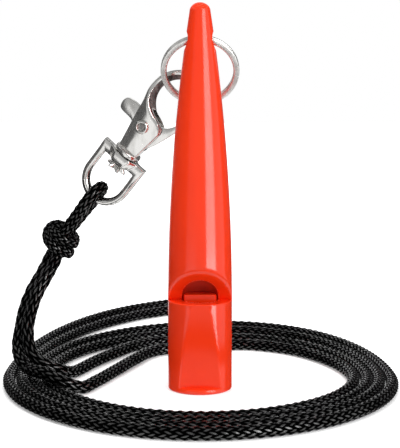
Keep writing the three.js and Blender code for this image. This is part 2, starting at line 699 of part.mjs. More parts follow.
const { across, along, front } = hookAxes();
const hook = new THREE.Group();
hook.position.set(0, 0, holeHeight).add(CLAW_FROM_HOLE);
hook.position.addScaledVector(across, -CLAW_ACROSS).addScaledVector(along, -CLAW_ALONG);
hook.quaternion.setFromRotationMatrix(new THREE.Matrix4().makeBasis(across, along, front));
whistle.add(hook);
piece('hook_body', hookBody(), nickel, hook);
piece('gate_lever', gateLever(), nickel, hook);
piece('gate_rivet', gateRivet(), nickel, hook);
piece('gate_spring', gateSpring(), springSteel, hook);
piece('swivel_eye', swivelEye(), nickel, hook);
piece('swivel_rivet', swivelRivet(), nickel, hook);
piece('lanyard_eye_loop', eyeLoop(), blackCord, hook);
piece('lanyard_knot', knot(), blackCord, hook);

piece('lanyard_drop_front', cordTube(DROP_FRONT, CORD_STEP), blackCord, whistle);
piece('lanyard_drop_rear', cordTube(DROP_REAR, CORD_STEP), blackCord, whistle);
piece('lanyard_loops', lanyardLoops(), blackCord, whistle);

export default whistle;
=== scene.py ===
"""Dog whistle with its split ring, trigger hook and braided lanyard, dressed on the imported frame.

The whistle stands on its mouthpiece at the origin, +Z runs up to its tip and its window faces -Y.
Shapes are worked out in millimetres and turned into metres once, when a piece is made.
"""

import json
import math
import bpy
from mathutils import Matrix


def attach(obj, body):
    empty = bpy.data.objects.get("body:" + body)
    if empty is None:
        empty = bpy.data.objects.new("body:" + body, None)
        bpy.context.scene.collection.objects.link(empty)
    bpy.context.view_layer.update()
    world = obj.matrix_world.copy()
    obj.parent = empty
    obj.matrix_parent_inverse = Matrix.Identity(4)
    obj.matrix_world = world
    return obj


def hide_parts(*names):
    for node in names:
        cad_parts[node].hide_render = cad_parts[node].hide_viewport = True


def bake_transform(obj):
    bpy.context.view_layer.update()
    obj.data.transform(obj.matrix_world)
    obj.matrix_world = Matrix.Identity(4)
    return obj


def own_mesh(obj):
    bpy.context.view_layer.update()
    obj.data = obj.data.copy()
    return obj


bl_info = {
    "name": "Dog Whistle and Lanyard",
    "version": (1, 0, 0),
    "blender": (4, 5, 0),
    "location": "View3D > Sidebar > Whistle",
    "description": "Builds a moulded dog whistle with its ring, trigger hook and braided lanyard",
    "category": "Add Mesh",
}

from collections import namedtuple
from types import SimpleNamespace

import bmesh
import bpy
import numpy as np
from bpy.props import FloatProperty, FloatVectorProperty, IntProperty, PointerProperty
from mathutils import Vector

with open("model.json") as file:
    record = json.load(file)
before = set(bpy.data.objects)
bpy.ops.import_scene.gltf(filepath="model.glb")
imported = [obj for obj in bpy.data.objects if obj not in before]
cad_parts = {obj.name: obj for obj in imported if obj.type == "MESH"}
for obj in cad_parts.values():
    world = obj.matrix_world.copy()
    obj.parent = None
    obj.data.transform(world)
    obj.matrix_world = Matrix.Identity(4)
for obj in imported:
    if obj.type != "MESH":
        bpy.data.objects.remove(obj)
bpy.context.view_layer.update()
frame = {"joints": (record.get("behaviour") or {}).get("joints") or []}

MM = 0.001
TURN = 2 * math.pi
QUARTER = np.linspace(0, math.pi / 2, 5)
WHITE = (1, 1, 1, 1)
JOINTS = {joint["name"]: joint for joint in frame["joints"]}

# The hook's own axes: across, along the swivel axis and to the front. Its origin is where the
# swivel axis leaves the top of the eye's bar.
HOOK_ORIGIN = np.array(JOINTS["eye_swivel"]["pos_m"]) / MM
HOOK_ALONG = np.array(JOINTS["eye_swivel"]["axis"])
HOOK_FRONT = np.array(JOINTS["gate_open"]["axis"])
HOOK_ACROSS = np.cross(HOOK_ALONG, HOOK_FRONT)
GATE_PIVOT = np.array(JOINTS["gate_open"]["pos_m"]) / MM - HOOK_ORIGIN
PIVOT_ACROSS = float(GATE_PIVOT @ HOOK_ACROSS)
PIVOT_ALONG = float(GATE_PIVOT @ HOOK_ALONG)
RING_CENTRE = np.array(JOINTS["ring_swing"]["pos_m"]) / MM

# Trigger hook, in millimetres on its own axes
CLAW_ACROSS = 3.0
CLAW_ALONG = 17.2
CLAW_NOSE = math.radians(28)
CLAW_SPINE = math.radians(175)
CLAW_ROOT = math.radians(205)
CLAW_CROOK = math.radians(272)
BODY_FOOT_HALF = 2.5
SHOULDER = (3.7, 9.6)
WAIST = (-3.9, 9.7)
FLANGE_FOOT = 0.3
FLANGE_EDGE = 0.35
SLOT_FLOOR = 3.7
SLOT_CEILING = 12.7
SLOT_THICKNESS = 2.0
PIVOT_HOLE = 1.3
LEVER_HUB = 2.3
LEVER_EDGE = 0.24
ARM_FOOT = (4.1, -4.0)
ARM_LEAN = math.radians(18)
ARM_CLEARANCE = 0.45
SPRING_ACROSS = -2.3
SPRING_RADIUS = 0.5
SPRING_WIRE = 0.175
SPRING_TURNS = 2.5
SPRING_LENGTH = 1.9
BOW_START = -7.6
BARREL_HOLE = 1.45

# Cord routes, in millimetres: the two strands from the knot down to the floor
DROP_FRONT = [
    [-32.9, 19.6, 29.6], [-33.7, 19.2, 27], [-35.6, 15.9, 22.96], [-37.7, 13.2, 18.9],
    [-38.9, 10.4, 14.95], [-39.3, 7.6, 11.4], [-38.8, 5.6, 8.4], [-37.3, 3.6, 5.9], [-34.5, 2.7, 4.25],
    [-31.2, 4.4, 2.6], [-28.7, 9.8, 1.3], [-24.9, 20.3, 1.27], [-20.2, 30.5, 1.27],
    [-16, 37.9, 1.27], [-13.06, 40.71, 1.27], [-10.65, 41.58, 1.27],
]
DROP_REAR = [
    [-33.7, 21.6, 29.6], [-35.3, 22, 27], [-37.3, 18.8, 22.9], [-39.5, 16, 18.85],
    [-40.8, 13.2, 14.9], [-41.3, 10.4, 11.3], [-41.6, 7.7, 7.9], [-40.4, 3.3, 5.4], [-37.6, -1.2, 4.2],
    [-33.6, -5.8, 4.25], [-29.9, -7.6, 2.9], [-26.2, -6.1, 1.5], [-23.2, 0.2, 1.27],
    [-19.6, 10.5, 1.27], [-15.6, 22.3, 1.27], [-12.4, 30, 1.27], [-10.2, 32.79, 1.27],
    [-7.79, 33.66, 1.27],
]
# Lengths from the knot at which a drop's neck and middle end, and a direction that no drop runs along
NECK_END = 7.0
MIDDLE_END = 38.0
DROP_UP = (0.25, -0.2, 1.0)

# Knot and eye loop, in millimetres on the hook's axes
KNOT_ALONG = -26.8
KNOT_RADIUS = 2.6
KNOT_TAILS = (
    [[-0.6, -26.6, 0.9], [1, -25.9, 1.2], [2.7, -24.9, 1.6], [4.3, -24, 1.3]],
    [[-0.6, -27.4, 0.9], [1, -27.5, 1.2], [2.9, -27.5, 1.4], [4.9, -27.3, 0.9]],
)
EYE_LOOP_ALONG = -13.1
EYE_LOOP_RADIUS = 2.9
EYE_LOOP_FOOT = np.array([[0, -24.2, 1.45], [0, -22.6, 1.55], [0, -17.9, 2.2]])

# Loops on the floor, counted in turns from the left
LOOPS_START = 0.2
LOOPS_END = 2.247

# Braid: how far a stitch leans in its column, the powers that shape its crown and the height that lies
# at the cord's diameter; and the step between the cord's rings, in millimetres
STITCH_LEAN = 0.55
CROWN_ACROSS = 0.5
CROWN_ALONG = 2.4
MEAN_HEIGHT = 0.6
CORD_STEP = 0.3
KNOT_STEP = 0.2

# Camera, in metres and radians
CAMERA_LENS = 103.0
CAMERA_PLACE = (0, -0.28, 0.07)
CAMERA_TILT = (math.radians(83.242), 0, 0)


# Values a user would change


def size(name, description, value):
    """A size that is given in millimetres and kept in metres."""
    return FloatProperty(name=name, description=description, default=value * MM, min=0, subtype="DISTANCE")


def colour(name, description, value):
    return FloatVectorProperty(
        name=name, description=description, default=value, size=3, min=0, max=1, subtype="COLOR")


class WhistleSizes(bpy.types.PropertyGroup):
    """Sizes of the moulded whistle."""

    whistle_length: size("Length", "From the mouthpiece end to the tip", 85)
    foot_radius: size("Foot radius", "Outside radius of the straight lower part", 7.1)
    foot_edge: size("Foot edge", "Rounding of the mouthpiece end", 0.5)
    tip_radius: size("Tip radius", "Radius at the foot of the tip's dome", 2.3)
    tip_dome: size("Tip dome", "Height of the dome on the tip", 2)
    taper_start: size("Taper start", "Height at which the taper starts", 18)
    bore_radius: size("Bore radius", "Radius of the bore", 4)
    bore_depth: size("Bore depth", "Height of the bore's end", 57)
    shelf_height: size("Shelf height", "Height of the window's flat shelf", 20)
    scoop_lift: size("Scoop lift", "Height at which the scoop starts above the shelf", 0.9)
    lip_height: size("Lip height", "Height of the lip at the mouthpiece end", 1.2)
    beak_at_shelf: size("Beak cut at the shelf", "Depth of the beak's flat under the window", 0.3)
    beak_at_lip: size("Beak cut at the lip", "Depth of the beak's flat above the lip", 1.8)
    hole_radius: size("Hole radius", "Radius of the cross hole in the tip", 1.7)
    hole_flare: size("Hole flare", "How far the hole's mouths open out", 0.35)
    windway: size("Windway", "Depth of the windway in front of the plug", 2.4)
    plug_rise: size("Plug rise", "How far the plug stands above the shelf", 1.3)
    clearance: size("Clearance", "Gap between the plug and the bore", 0.3)
    scoop_slope: FloatProperty(
        name="Scoop slope", description="Rise of the scoop on its way out", default=0.7, min=0)


class HardwareSizes(bpy.types.PropertyGroup):
    """Sizes of the split ring, the trigger hook and the swivel eye."""

    ring_diameter: size("Ring diameter", "Outside diameter of the split ring", 17.3)
    ring_width: size("Ring wire width", "Width of the ring's flat wire", 1.3)
    ring_thickness: size("Ring wire thickness", "Thickness of one turn of the ring's wire", 0.65)
    ring_gap: size("Ring turn gap", "Gap between the ring's two turns", 0.1)
    claw_outer: size("Claw radius", "Outside radius of the hook's claw", 8.1)
    claw_band: size("Claw band", "Width of the claw's band", 2.2)
    root_thickness: size("Root thickness", "Thickness of the hook's body", 3.8)
    spine_thickness: size("Spine thickness", "Thickness of the claw's spine", 1.9)
    nose_thickness: size("Nose thickness", "Thickness of the claw's nose", 1.4)
    flange_radius: size("Flange radius", "Radius of the hook's foot flange", 3.2)
    flange_thickness: size("Flange thickness", "Thickness of the hook's foot flange", 1.1)
    lever_thickness: size("Lever thickness", "Thickness of the gate lever", 1.4)
    rivet_radius: size("Gate rivet radius", "Radius of the gate rivet's head", 1.6)
    eye_width: size("Eye width", "Outside width of the swivel eye", 12.1)
    eye_length: size("Eye length", "Length of the swivel eye along its axis", 14)
    eye_band: size("Eye band", "Width of the eye's bow", 1.8)
    eye_thickness: size("Eye thickness", "Thickness of the eye's bow", 2.2)
    bar_height: size("Bar height", "Height of the eye's bar", 2.6)
    barrel_radius: size("Barrel radius", "Radius of the barrel on the eye's bar", 2.5)
    swivel_radius: size("Swivel rivet radius", "Reach of the swivel rivet's splayed head", 2.3)


class LanyardSizes(bpy.types.PropertyGroup):
    """Sizes of the braided cord."""

    cord_diameter: size("Cord diameter", "Outside diameter of the braid", 2.8)
    stitch_length: size("Stitch length", "Length of one stitch where the cord lies slack", 2.1)
    pulled_length: size("Pulled stitch length", "Length of one stitch where the cord hangs straight", 3.0)
    knot_length: size("Knot stitch length", "Length of one stitch in the knot", 1.2)
    stitch_depth: size("Stitch depth", "Depth of the valleys between stitches", 0.2)
    columns: IntProperty(
        name="Stitch columns", description="Columns of stitches round the cord", default=12, min=4)


class Finishes(bpy.types.PropertyGroup):
    """Colours of the finishes, as linear values."""

    plastic: colour("Plastic", "Moulded plastic of the whistle", (0.95, 0.043, 0.006))
    plastic_deep: colour("Deep plastic", "Plastic where the moulding is denser", (0.91, 0.038, 0.005))
    nickel: colour("Nickel", "Polished nickel plate", (0.84, 0.83, 0.805))
    nickel_dull: colour("Dull nickel", "Plate where it is less polished", (0.64, 0.63, 0.605))
    # Painted shade: the inner wall's two colours are far darker than the polished plate, for its shade as
    # well as its unpolished plate.
    nickel_inside_shaded: colour("Unpolished nickel", "Plate on the claw's inner wall", (0.05, 0.049, 0.047))
    nickel_rough_shaded: colour("Rough nickel", "Streaks on the claw's inner wall", (0.3, 0.295, 0.285))
    steel: colour("Spring steel", "Drawn wire of the spring", (0.55, 0.56, 0.57))
    # Painted shade and highlight of the braid: the valleys near black, the crowns lighter.
    cord: colour("Cord", "Cord in the valleys of the braid", (0.0005, 0.0005, 0.0005))
    cord_thread: colour("Cord thread", "Cord on the flanks of the stitches", (0.006, 0.006, 0.006))
    cord_glint: colour("Cord glint", "Cord on the crowns of the stitches", (0.032, 0.032, 0.0315))
    floor: colour("Floor", "Floor and backdrop", (0.85, 0.85, 0.85))


def millimetres(group):
    """The sizes of a group in millimetres; counts and slopes stay as they are."""
    values = {}
    for key in type(group).__annotations__:
        value = getattr(group, key)
        values[key] = value / MM if group.bl_rna.properties[key].subtype == "DISTANCE" else value
    return SimpleNamespace(**values)


# Meshes from grids of points

# A sheet is a grid of points in millimetres. Wrap closes its columns, loop closes its rows and cap its
# two ends. Reading has a value for each point, and braid the map's places of the row and column lines.
Sheet = namedtuple("Sheet", "grid wrap loop cap reading braid", defaults=(True, False, False, None, None))


def grid_faces(rows, columns, wrap, loop):
    """Quads between neighbouring rows and columns; wrap closes the columns, loop closes the rows."""
    i, j = np.meshgrid(
        np.arange(rows if loop else rows - 1), np.arange(columns if wrap else columns - 1), indexing="ij")
    k, m = (j + 1) % columns, (i + 1) % rows
    quads = [i * columns + j, i * columns + k, m * columns + k, m * columns + j]
    return np.stack(quads, axis=-1).reshape(-1, 4)


def corner_places(down, over):
    """Map places of each quad's corners, from one value for each row line and one for each column line."""
    i, j = np.meshgrid(np.arange(len(down) - 1), np.arange(len(over) - 1), indexing="ij")
    corners = ((i, j), (i, j + 1), (i + 1, j + 1), (i + 1, j))
    places = [np.stack([down[row], over[column]], axis=-1) for row, column in corners]
    return np.stack(places, axis=2).reshape(-1, 2)


def new_object(name, data):
    piece = bpy.data.objects.new(name, data)
    bpy.context.scene.collection.objects.link(piece)
    return piece


def new_piece(name, sheets, weld=True, layer=None):
    """A piece made of sheets; layer names the reading that their points carry."""
    points = np.concatenate([sheet.grid.reshape(-1, 3) for sheet in sheets]) * MM
    faces = []
    places = []
    first = 0
    for sheet in sheets:
        rows, columns = sheet.grid.shape[:2]
        faces += (grid_faces(rows, columns, sheet.wrap, sheet.loop) + first).tolist()
        if sheet.braid:
            places.append(corner_places(*sheet.braid))
        if sheet.cap:
            last = first + (rows - 1) * columns
            faces += [list(range(first, first + columns))[::-1], list(range(last, last + columns))]
            places.append(np.full((2 * columns, 2), 0.5))
        first += rows * columns
    mesh = bpy.data.meshes.new(name)
    mesh.from_pydata(points.tolist(), [], faces)
    if sheets[0].braid:
        layout = np.concatenate(places).astype(np.float32).ravel()
        mesh.uv_layers.new(name="braid").data.foreach_set("uv", layout)
    if layer:
        readings = np.concatenate([np.ravel(sheet.reading) for sheet in sheets]).astype(np.float32)
        mesh.attributes.new(layer, "FLOAT", "POINT").data.foreach_set("value", readings)
    if weld:
        work = bmesh.new()
        work.from_mesh(mesh)
        bmesh.ops.remove_doubles(work, verts=work.verts, dist=2e-7)
        bmesh.ops.recalc_face_normals(work, faces=work.faces)
        work.to_mesh(mesh)
        work.free()
    return new_object(name, mesh)


def combine(piece, operation, sheet):
    """Joins the shape of a sheet to a piece, or cuts it out, and keeps only the result."""
    other = new_piece(operation.lower(), [sheet])
    modifier = piece.modifiers.new(operation.title(), "BOOLEAN")
    modifier.operation = operation
    modifier.solver = "EXACT"
    modifier.object = other
    bpy.context.view_layer.update()
    result = bpy.data.meshes.new_from_object(piece.evaluated_get(bpy.context.evaluated_depsgraph_get()))
    piece.modifiers.clear()
    piece.data = result
    bpy.data.objects.remove(other)


def finish_piece(piece, body, material, nodes, sharp=35):
    """Shades a piece, gives it its finish and puts it on its body, if it rides on one alone."""
    mesh = piece.data
    mesh.materials.clear()
    mesh.materials.append(material)
    mesh.shade_smooth()
    mesh.set_sharp_from_angle(angle=math.radians(sharp))
    if body:
        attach(piece, body)
    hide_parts(*nodes)


# Points, lines and turned shapes


def on_hook(points):
    """Points given across, along and in front of the hook, put into the frame's axes."""
    points = np.asarray(points, dtype=float)
    return (HOOK_ORIGIN + points[..., 0:1] * HOOK_ACROSS + points[..., 1:2] * HOOK_ALONG
            + points[..., 2:3] * HOOK_FRONT)


def at_pivot(points):
    """Points given about the gate's pivot, on the hook's axes, put into the frame's axes."""
    return on_hook(points + np.array([PIVOT_ACROSS, PIVOT_ALONG, 0]))


def upright(grid):
    """A turned shape whose axis is laid along the hook's swivel axis."""
    return on_hook(np.stack([grid[..., 0], grid[..., 2], -grid[..., 1]], axis=-1))


def unit(vectors):
    return vectors / np.linalg.norm(vectors, axis=1, keepdims=True)


def round_angles(count):
    return TURN * np.arange(count) / count


def turned(profile, columns, lobes=None):
    """A profile of radius and height carried round the third axis; lobes scales the radius by angle."""
    profile = np.asarray(profile, dtype=float)
    angle = round_angles(columns)
    radius = profile[:, :1] * np.ones(columns)
    if lobes is not None:
        radius = radius * lobes(angle, profile[:, 1:2])
    height = profile[:, 1:2] * np.ones(columns)
    return np.stack([radius * np.cos(angle), radius * np.sin(angle), height], axis=-1)


def swept(line, first, second, radius, angle):
    """Rings of points about a line, in the plane of two directions at each of its points."""
    return (line[:, None] + (radius * np.cos(angle))[..., None] * first[:, None]
            + (radius * np.sin(angle))[..., None] * second[:, None])


def corner_curve(share, start, corner, end):
    """A curve from start to end that leaves and arrives in the corner's direction."""
    return (1 - share) ** 2 * start + 2 * share * (1 - share) * corner + share ** 2 * end


def rounded(points, radius):
    """An open profile whose inner corners are replaced by curves that start radius away from them."""
    points = np.asarray(points, dtype=float)
    share = np.linspace(0, 1, 5)[:, None]
    most = 0.45
    result = [points[:1]]
    for before, corner, after in zip(points, points[1:], points[2:]):
        into = before - corner
        out = after - corner
        reach = min(radius, most * np.linalg.norm(into), most * np.linalg.norm(out))
        start = corner + reach * into / np.linalg.norm(into)
        end = corner + reach * out / np.linalg.norm(out)
        result.append(corner_curve(share, start, corner, end))
    return np.concatenate(result + [points[-1:]])


def straight(start, end, count):
    """Points on the way from start to end, without the start itself."""
    share = np.linspace(0, 1, count + 1)[1:, None]
    return np.asarray(start) * (1 - share) + np.asarray(end) * share


def smooth_step(share):
    share = np.clip(share, 0, 1)
    return share * share * (3 - 2 * share)


# Finishes

# Places of the colour sockets on a Mix node, whose names repeat
MIX_FIRST, MIX_SECOND, MIX_RESULT = 6, 7, 2


def feed(tree, node, inputs):
    """Sets a node's inputs to plain values, or links them to other nodes' results."""
    for name, value in inputs.items():
        if isinstance(value, bpy.types.NodeSocket):
            tree.links.new(value, node.inputs[name])
        else:
            node.inputs[name].default_value = value


def new_node(tree, kind, inputs):
    node = tree.nodes.new(kind)
    feed(tree, node, inputs)
    return node


def own_places(tree):
    return tree.nodes.new("ShaderNodeTexCoord").outputs["Object"]


def noise(tree, scale, detail, stretch=(1, 1, 1)):
    """Noise on the piece's own coordinates, stretched by a mapping."""
    mapping = new_node(tree, "ShaderNodeMapping", {"Vector": own_places(tree), "Scale": stretch})
    texture = new_node(
        tree, "ShaderNodeTexNoise", {"Vector": mapping.outputs["Vector"], "Scale": scale, "Detail": detail})
    return texture.outputs["Fac"]


def ramp(tree, factor, stops):
    """A colour for each factor, between stops of position and colour."""
    node = new_node(tree, "ShaderNodeValToRGB", {"Fac": factor})
    elements = node.color_ramp.elements
    while len(elements) < len(stops):
        elements.new(0.5)
    for element, (position, value) in zip(elements, stops):
        element.position = position
        element.color = (*value, 1)
    return node.outputs["Color"]


def spread(tree, factor, low, high, start=0.0, end=1.0):
    """A factor between start and end, spread from low to high."""
    node = new_node(tree, "ShaderNodeMapRange", {
        "Value": factor, "From Min": start, "From Max": end, "To Min": low, "To Max": high})
    return node.outputs["Result"]


def bump(tree, height, strength, distance):
    """A normal that follows a height; distance is in millimetres."""
    node = new_node(tree, "ShaderNodeBump", {
        "Height": height, "Strength": strength, "Distance": distance * MM})
    return node.outputs["Normal"]


def calc(tree, operation, *values):
    """One step of arithmetic on numbers and other nodes' results."""
    node = tree.nodes.new("ShaderNodeMath")
    node.operation = operation
    feed(tree, node, dict(enumerate(values)))
    return node.outputs[0]


def reading(tree, layer):
    """A reading that the piece's points carry, 0 on a piece without it."""
    node = tree.nodes.new("ShaderNodeAttribute")
    node.attribute_name = layer
    return node.outputs["Fac"]


def new_finish(name):
    material = bpy.data.materials.new(name)
    material.use_nodes = True
    return material, material.node_tree, material.node_tree.nodes["Principled BSDF"]


def moulded_plastic(finishes, name):
    """Glossy moulded plastic: a faint mottle, gloss that varies, soft sink marks, and a dull bore."""
    material, tree, shader = new_finish(name)
    gloss = spread(tree, noise(tree, 420, 4), 0.13, 0.21)
    feed(tree, shader, {
        "Base Color": ramp(
            tree, noise(tree, 90, 3), [(0.35, finishes.plastic_deep), (0.65, finishes.plastic)]),
        "Roughness": calc(tree, "MULTIPLY_ADD", reading(tree, "inside"), 0.5, gloss),
        "Normal": bump(tree, noise(tree, 160, 2, (1, 1, 0.3)), 0.05, 0.05),
    })
    return material


def plated_nickel(finishes, name, streak, relief, smoothest, roughest):
    """Nickel plate: bright, a little dull in patches, streaked, and unpolished with painted shade where a
    reading says so.
    """
    material, tree, shader = new_finish(name)
    inside = reading(tree, "inside")
    polished = ramp(
        tree, noise(tree, 500, 3, streak), [(0.3, finishes.nickel_dull), (0.55, finishes.nickel)])
    # Painted shade: where the reading says so the base colour turns near black, for the shade on the claw's
    # inner wall and in the rivet's bowl; the plate there is also rougher and less metallic.
    unpolished_and_shaded = ramp(
        tree, noise(tree, 900, 3, (1, 1, 0.3)),
        [(0.4, finishes.nickel_inside_shaded), (0.75, finishes.nickel_rough_shaded)])
    mix = tree.nodes.new("ShaderNodeMix")
    mix.data_type = "RGBA"
    feed(tree, mix, {"Factor": inside, MIX_FIRST: polished, MIX_SECOND: unpolished_and_shaded})
    gloss = spread(tree, noise(tree, 700, 3, streak), smoothest, roughest)
    feed(tree, shader, {
        "Base Color": mix.outputs[MIX_RESULT],
        "Metallic": calc(tree, "MULTIPLY_ADD", inside, -0.8, 1),
        "Roughness": calc(tree, "MULTIPLY_ADD", inside, 0.4, gloss),
        "Normal": bump(tree, noise(tree, 330, 2, streak), relief, 0.12),
    })
    return material


def drawn_steel(finishes, name):
    """Drawn spring wire: satin, with fine lines."""
    material, tree, shader = new_finish(name)
    feed(tree, shader, {
        "Base Color": (*finishes.steel, 1),
        "Metallic": 1,
        "Roughness": spread(tree, noise(tree, 2500, 2), 0.25, 0.45),
        "Normal": bump(tree, noise(tree, 4000, 2), 0.1, 0.02),
    })
    return material


def braided_cord(finishes, name):
    """Braided nylon: the same stitches as the shape has, painted shade between and a glossy painted highlight
    on the crowns.

    The map counts stitches along the cord and columns round it. Each stitch's highlight has its own
    brightness.
    """
    material, tree, shader = new_finish(name)
    place = tree.nodes.new("ShaderNodeUVMap")
    place.uv_map = "braid"
    parts = new_node(tree, "ShaderNodeSeparateXYZ", {"Vector": place.outputs["UV"]})
    along, around = parts.outputs["X"], parts.outputs["Y"]
    column = calc(tree, "FLOOR", around)
    odd = calc(tree, "MODULO", column, 2)
    across = calc(tree, "SUBTRACT", calc(tree, "FRACT", around), 0.5)
    lean = calc(tree, "MULTIPLY", calc(tree, "MULTIPLY_ADD", odd, 2, -1), across)
    step = calc(tree, "MULTIPLY_ADD", odd, 0.5, calc(tree, "MULTIPLY_ADD", lean, STITCH_LEAN, along))
    length = calc(tree, "SUBTRACT", calc(tree, "FRACT", step), 0.5)

    def pillow(share, power):
        return calc(tree, "POWER", calc(tree, "COSINE", calc(tree, "MULTIPLY", share, math.pi)), power)

    crown = calc(tree, "MULTIPLY", pillow(across, CROWN_ACROSS), pillow(length, CROWN_ALONG))
    own = new_node(tree, "ShaderNodeCombineXYZ", {"X": column, "Y": calc(tree, "FLOOR", step)})
    chance = tree.nodes.new("ShaderNodeTexWhiteNoise")
    chance.noise_dimensions = "2D"
    tree.links.new(own.outputs["Vector"], chance.inputs["Vector"])
    glint = calc(tree, "MULTIPLY", crown, spread(tree, chance.outputs["Value"], 0.6, 1.0))
    height = calc(tree, "MULTIPLY_ADD", noise(tree, 4200, 3), 0.2, crown)
    feed(tree, shader, {
        # Painted shade and highlight: near black in the valleys, lighter on the crowns, brighter on some
        # stitches than others.
        "Base Color": ramp(
            tree, glint, [(0.3, finishes.cord), (0.5, finishes.cord_thread), (0.8, finishes.cord_glint)]),
        "Roughness": spread(tree, noise(tree, 900, 2), 0.4, 0.6),
        "Specular IOR Level": 0,
        "Coat Weight": spread(tree, glint, 0, 1, 0.3, 0.6),
        "Coat Roughness": 0.25,
        "Coat IOR": 1.7,
        "Sheen Weight": 0.09,
        "Sheen Roughness": 0.22,
        "Normal": bump(tree, height, 0.4, 0.3),
    })
    return material


def shared_finish(name, make, **look):
    """A finish that is made the first time a piece asks for it."""
    found = bpy.data.materials.get(name)
    return found if found else make(bpy.context.scene.whistle_finishes, name, **look)


def plastic_finish():
    return shared_finish("glossy_moulding", moulded_plastic)


def wire_finish():
    return shared_finish(
        "plated_wire", plated_nickel, streak=(1, 1, 1), relief=0.08, smoothest=0.22, roughest=0.34)


def casting_finish():
    return shared_finish(
        "plated_casting", plated_nickel, streak=(1, 1, 0.4), relief=0.25, smoothest=0.08, roughest=0.24)


# Cord


def distance_along(points):
    """The distance of each point from the first, along the line through them."""
    return np.concatenate([[0], np.cumsum(np.linalg.norm(np.diff(points, axis=0), axis=1))])


def evenly(points, step):
    """A line through points, sampled again at even steps along its length."""
    along = distance_along(points)
    count = max(2, int(round(along[-1] / step)) + 1)
    at = np.linspace(0, along[-1], count)
    return np.stack([np.interp(at, along, points[:, axis]) for axis in range(3)], axis=-1)


def smooth_line(points, step):
    """A cubic through points whose slope at each is that of its neighbours, at even steps."""
    points = np.asarray(points, dtype=float)
    along = distance_along(points)
    slope = np.gradient(points, along, axis=0)
    at = np.linspace(0, along[-1], 40 * len(points))
    i = np.clip(np.searchsorted(along, at, side="right") - 1, 0, len(points) - 2)
    span = (along[i + 1] - along[i])[:, None]
    t = (at - along[i])[:, None] / span
    line = ((2 * t ** 3 - 3 * t ** 2 + 1) * points[i] + (t ** 3 - 2 * t ** 2 + t) * span * slope[i]
            + (3 * t ** 2 - 2 * t ** 3) * points[i + 1] + (t ** 3 - t ** 2) * span * slope[i + 1])
    return evenly(line, step)


def stitch_height(along, around):
    """Height of the braid, 0 in a valley and 1 on a crown, from stitches along and columns round.

    Columns of stitches run along the cord. Each stitch is a pillow, a root of the cosine across its
    column times a power of the cosine along it, so it is short and wide. It leans one way in one
    column and the other way in the next, half a stitch on.
    """
    column = np.floor(around)
    odd = column % 2
    across = around - column - 0.5
    place = along + (2 * odd - 1) * STITCH_LEAN * across + 0.5 * odd
    length = place - np.floor(place) - 0.5
    return np.abs(np.cos(math.pi * across)) ** CROWN_ACROSS * np.abs(np.cos(math.pi * length)) ** CROWN_ALONG


def braided_tube(line, up, cord, stitch, closed=False, cut_ends=False, start=0.0, fine=4):
    """A braided tube: rings about a line, whose radius follows the stitch height.

    Each ring has fine points to a column, and is turned so that its first direction is as near as can
    be to up. A closed tube has a whole number of stitches. Cut ends are drawn in to a dome.
    """
    line = np.asarray(line, dtype=float)
    if closed:
        tangent = unit(np.roll(line, -1, axis=0) - np.roll(line, 1, axis=0))
    else:
        tangent = unit(np.gradient(line, axis=0))
    side = unit(np.cross(tangent, np.broadcast_to(up, line.shape)))
    rise = np.cross(side, tangent)
    along = start + distance_along(np.concatenate([line, line[:1]]) if closed else line)
    if closed:
        stitch = along[-1] / max(1, round(along[-1] / stitch))
    down = along / stitch
    along = along[:len(line)]
    count = fine * cord.columns
    around = np.arange(count) / count
    height = stitch_height(down[:len(line), None], around[None, :] * cord.columns)
    radius = cord.cord_diameter / 2 + cord.stitch_depth * (height - MEAN_HEIGHT)
    if cut_ends:
        dome, least = 1.0, 0.03
        from_end = np.minimum(along - along[0], along[-1] - along)
        short = 1 - np.clip(from_end / dome, least, 1)
        radius = radius * np.sqrt(np.clip(1 - short ** 2, 0, 1))[:, None]
    grid = swept(line, rise, side, radius, TURN * around)
    return Sheet(grid, True, closed, not closed, None, (down, np.arange(count + 1) / fine))


def back_right(turn):
    """1 where the cord lies behind the whistle on the right, easing to 0 elsewhere."""
    part = turn % 1
    rise_from, rise_over = 0.2, 0.12
    fall_from, fall_over = 0.36, 0.14
    return smooth_step((part - rise_from) / rise_over) * (1 - smooth_step((part - fall_from) / fall_over))


def pair_centre(turn):
    """Middle of the doubled cord on the floor: an ellipse that grows by the turn, deeper at the back.

    Its left and right ends lie a little further back, and behind on the right it swings out.
    """
    middle_x, middle_y = 1.3, 3
    angle = math.pi * (1 - 2 * turn)
    cosine, sine = np.cos(angle), np.sin(angle)
    half_width = 31.95 + 5.6 * turn
    behind = 35.2 + 5 * turn + 9 * turn ** 2
    in_front = 29.7 + 7.33 * turn
    swing, swing_loss = 4, 2.5
    reach = np.where(sine > 0, behind, in_front)
    reach = reach + np.maximum(0, swing - swing_loss * np.floor(turn)) * back_right(turn)
    ends_back = cosine ** 2 * (3.5 - cosine)
    return np.stack([middle_x + half_width * cosine, middle_y + reach * sine + ends_back], axis=-1)


def pair_half_spacing(turn):
    """Half the spacing of the two strands: close at the sides, a little open in front and more behind.

    It widens to a bulb just before the bight.
    """
    close, front, behind, less_on_right = 1.4, 0.42, 3, 0.9
    bulb, bulb_over = 1.15, 0.05
    sine = np.sin(math.pi * (1 - 2 * turn))
    open_behind = (behind - less_on_right * back_right(turn)) * np.maximum(0, sine) ** 2
    at_bight = bulb * smooth_step((turn - LOOPS_END + bulb_over) / bulb_over)
    return close + front * np.maximum(0, -sine) + open_behind + at_bight


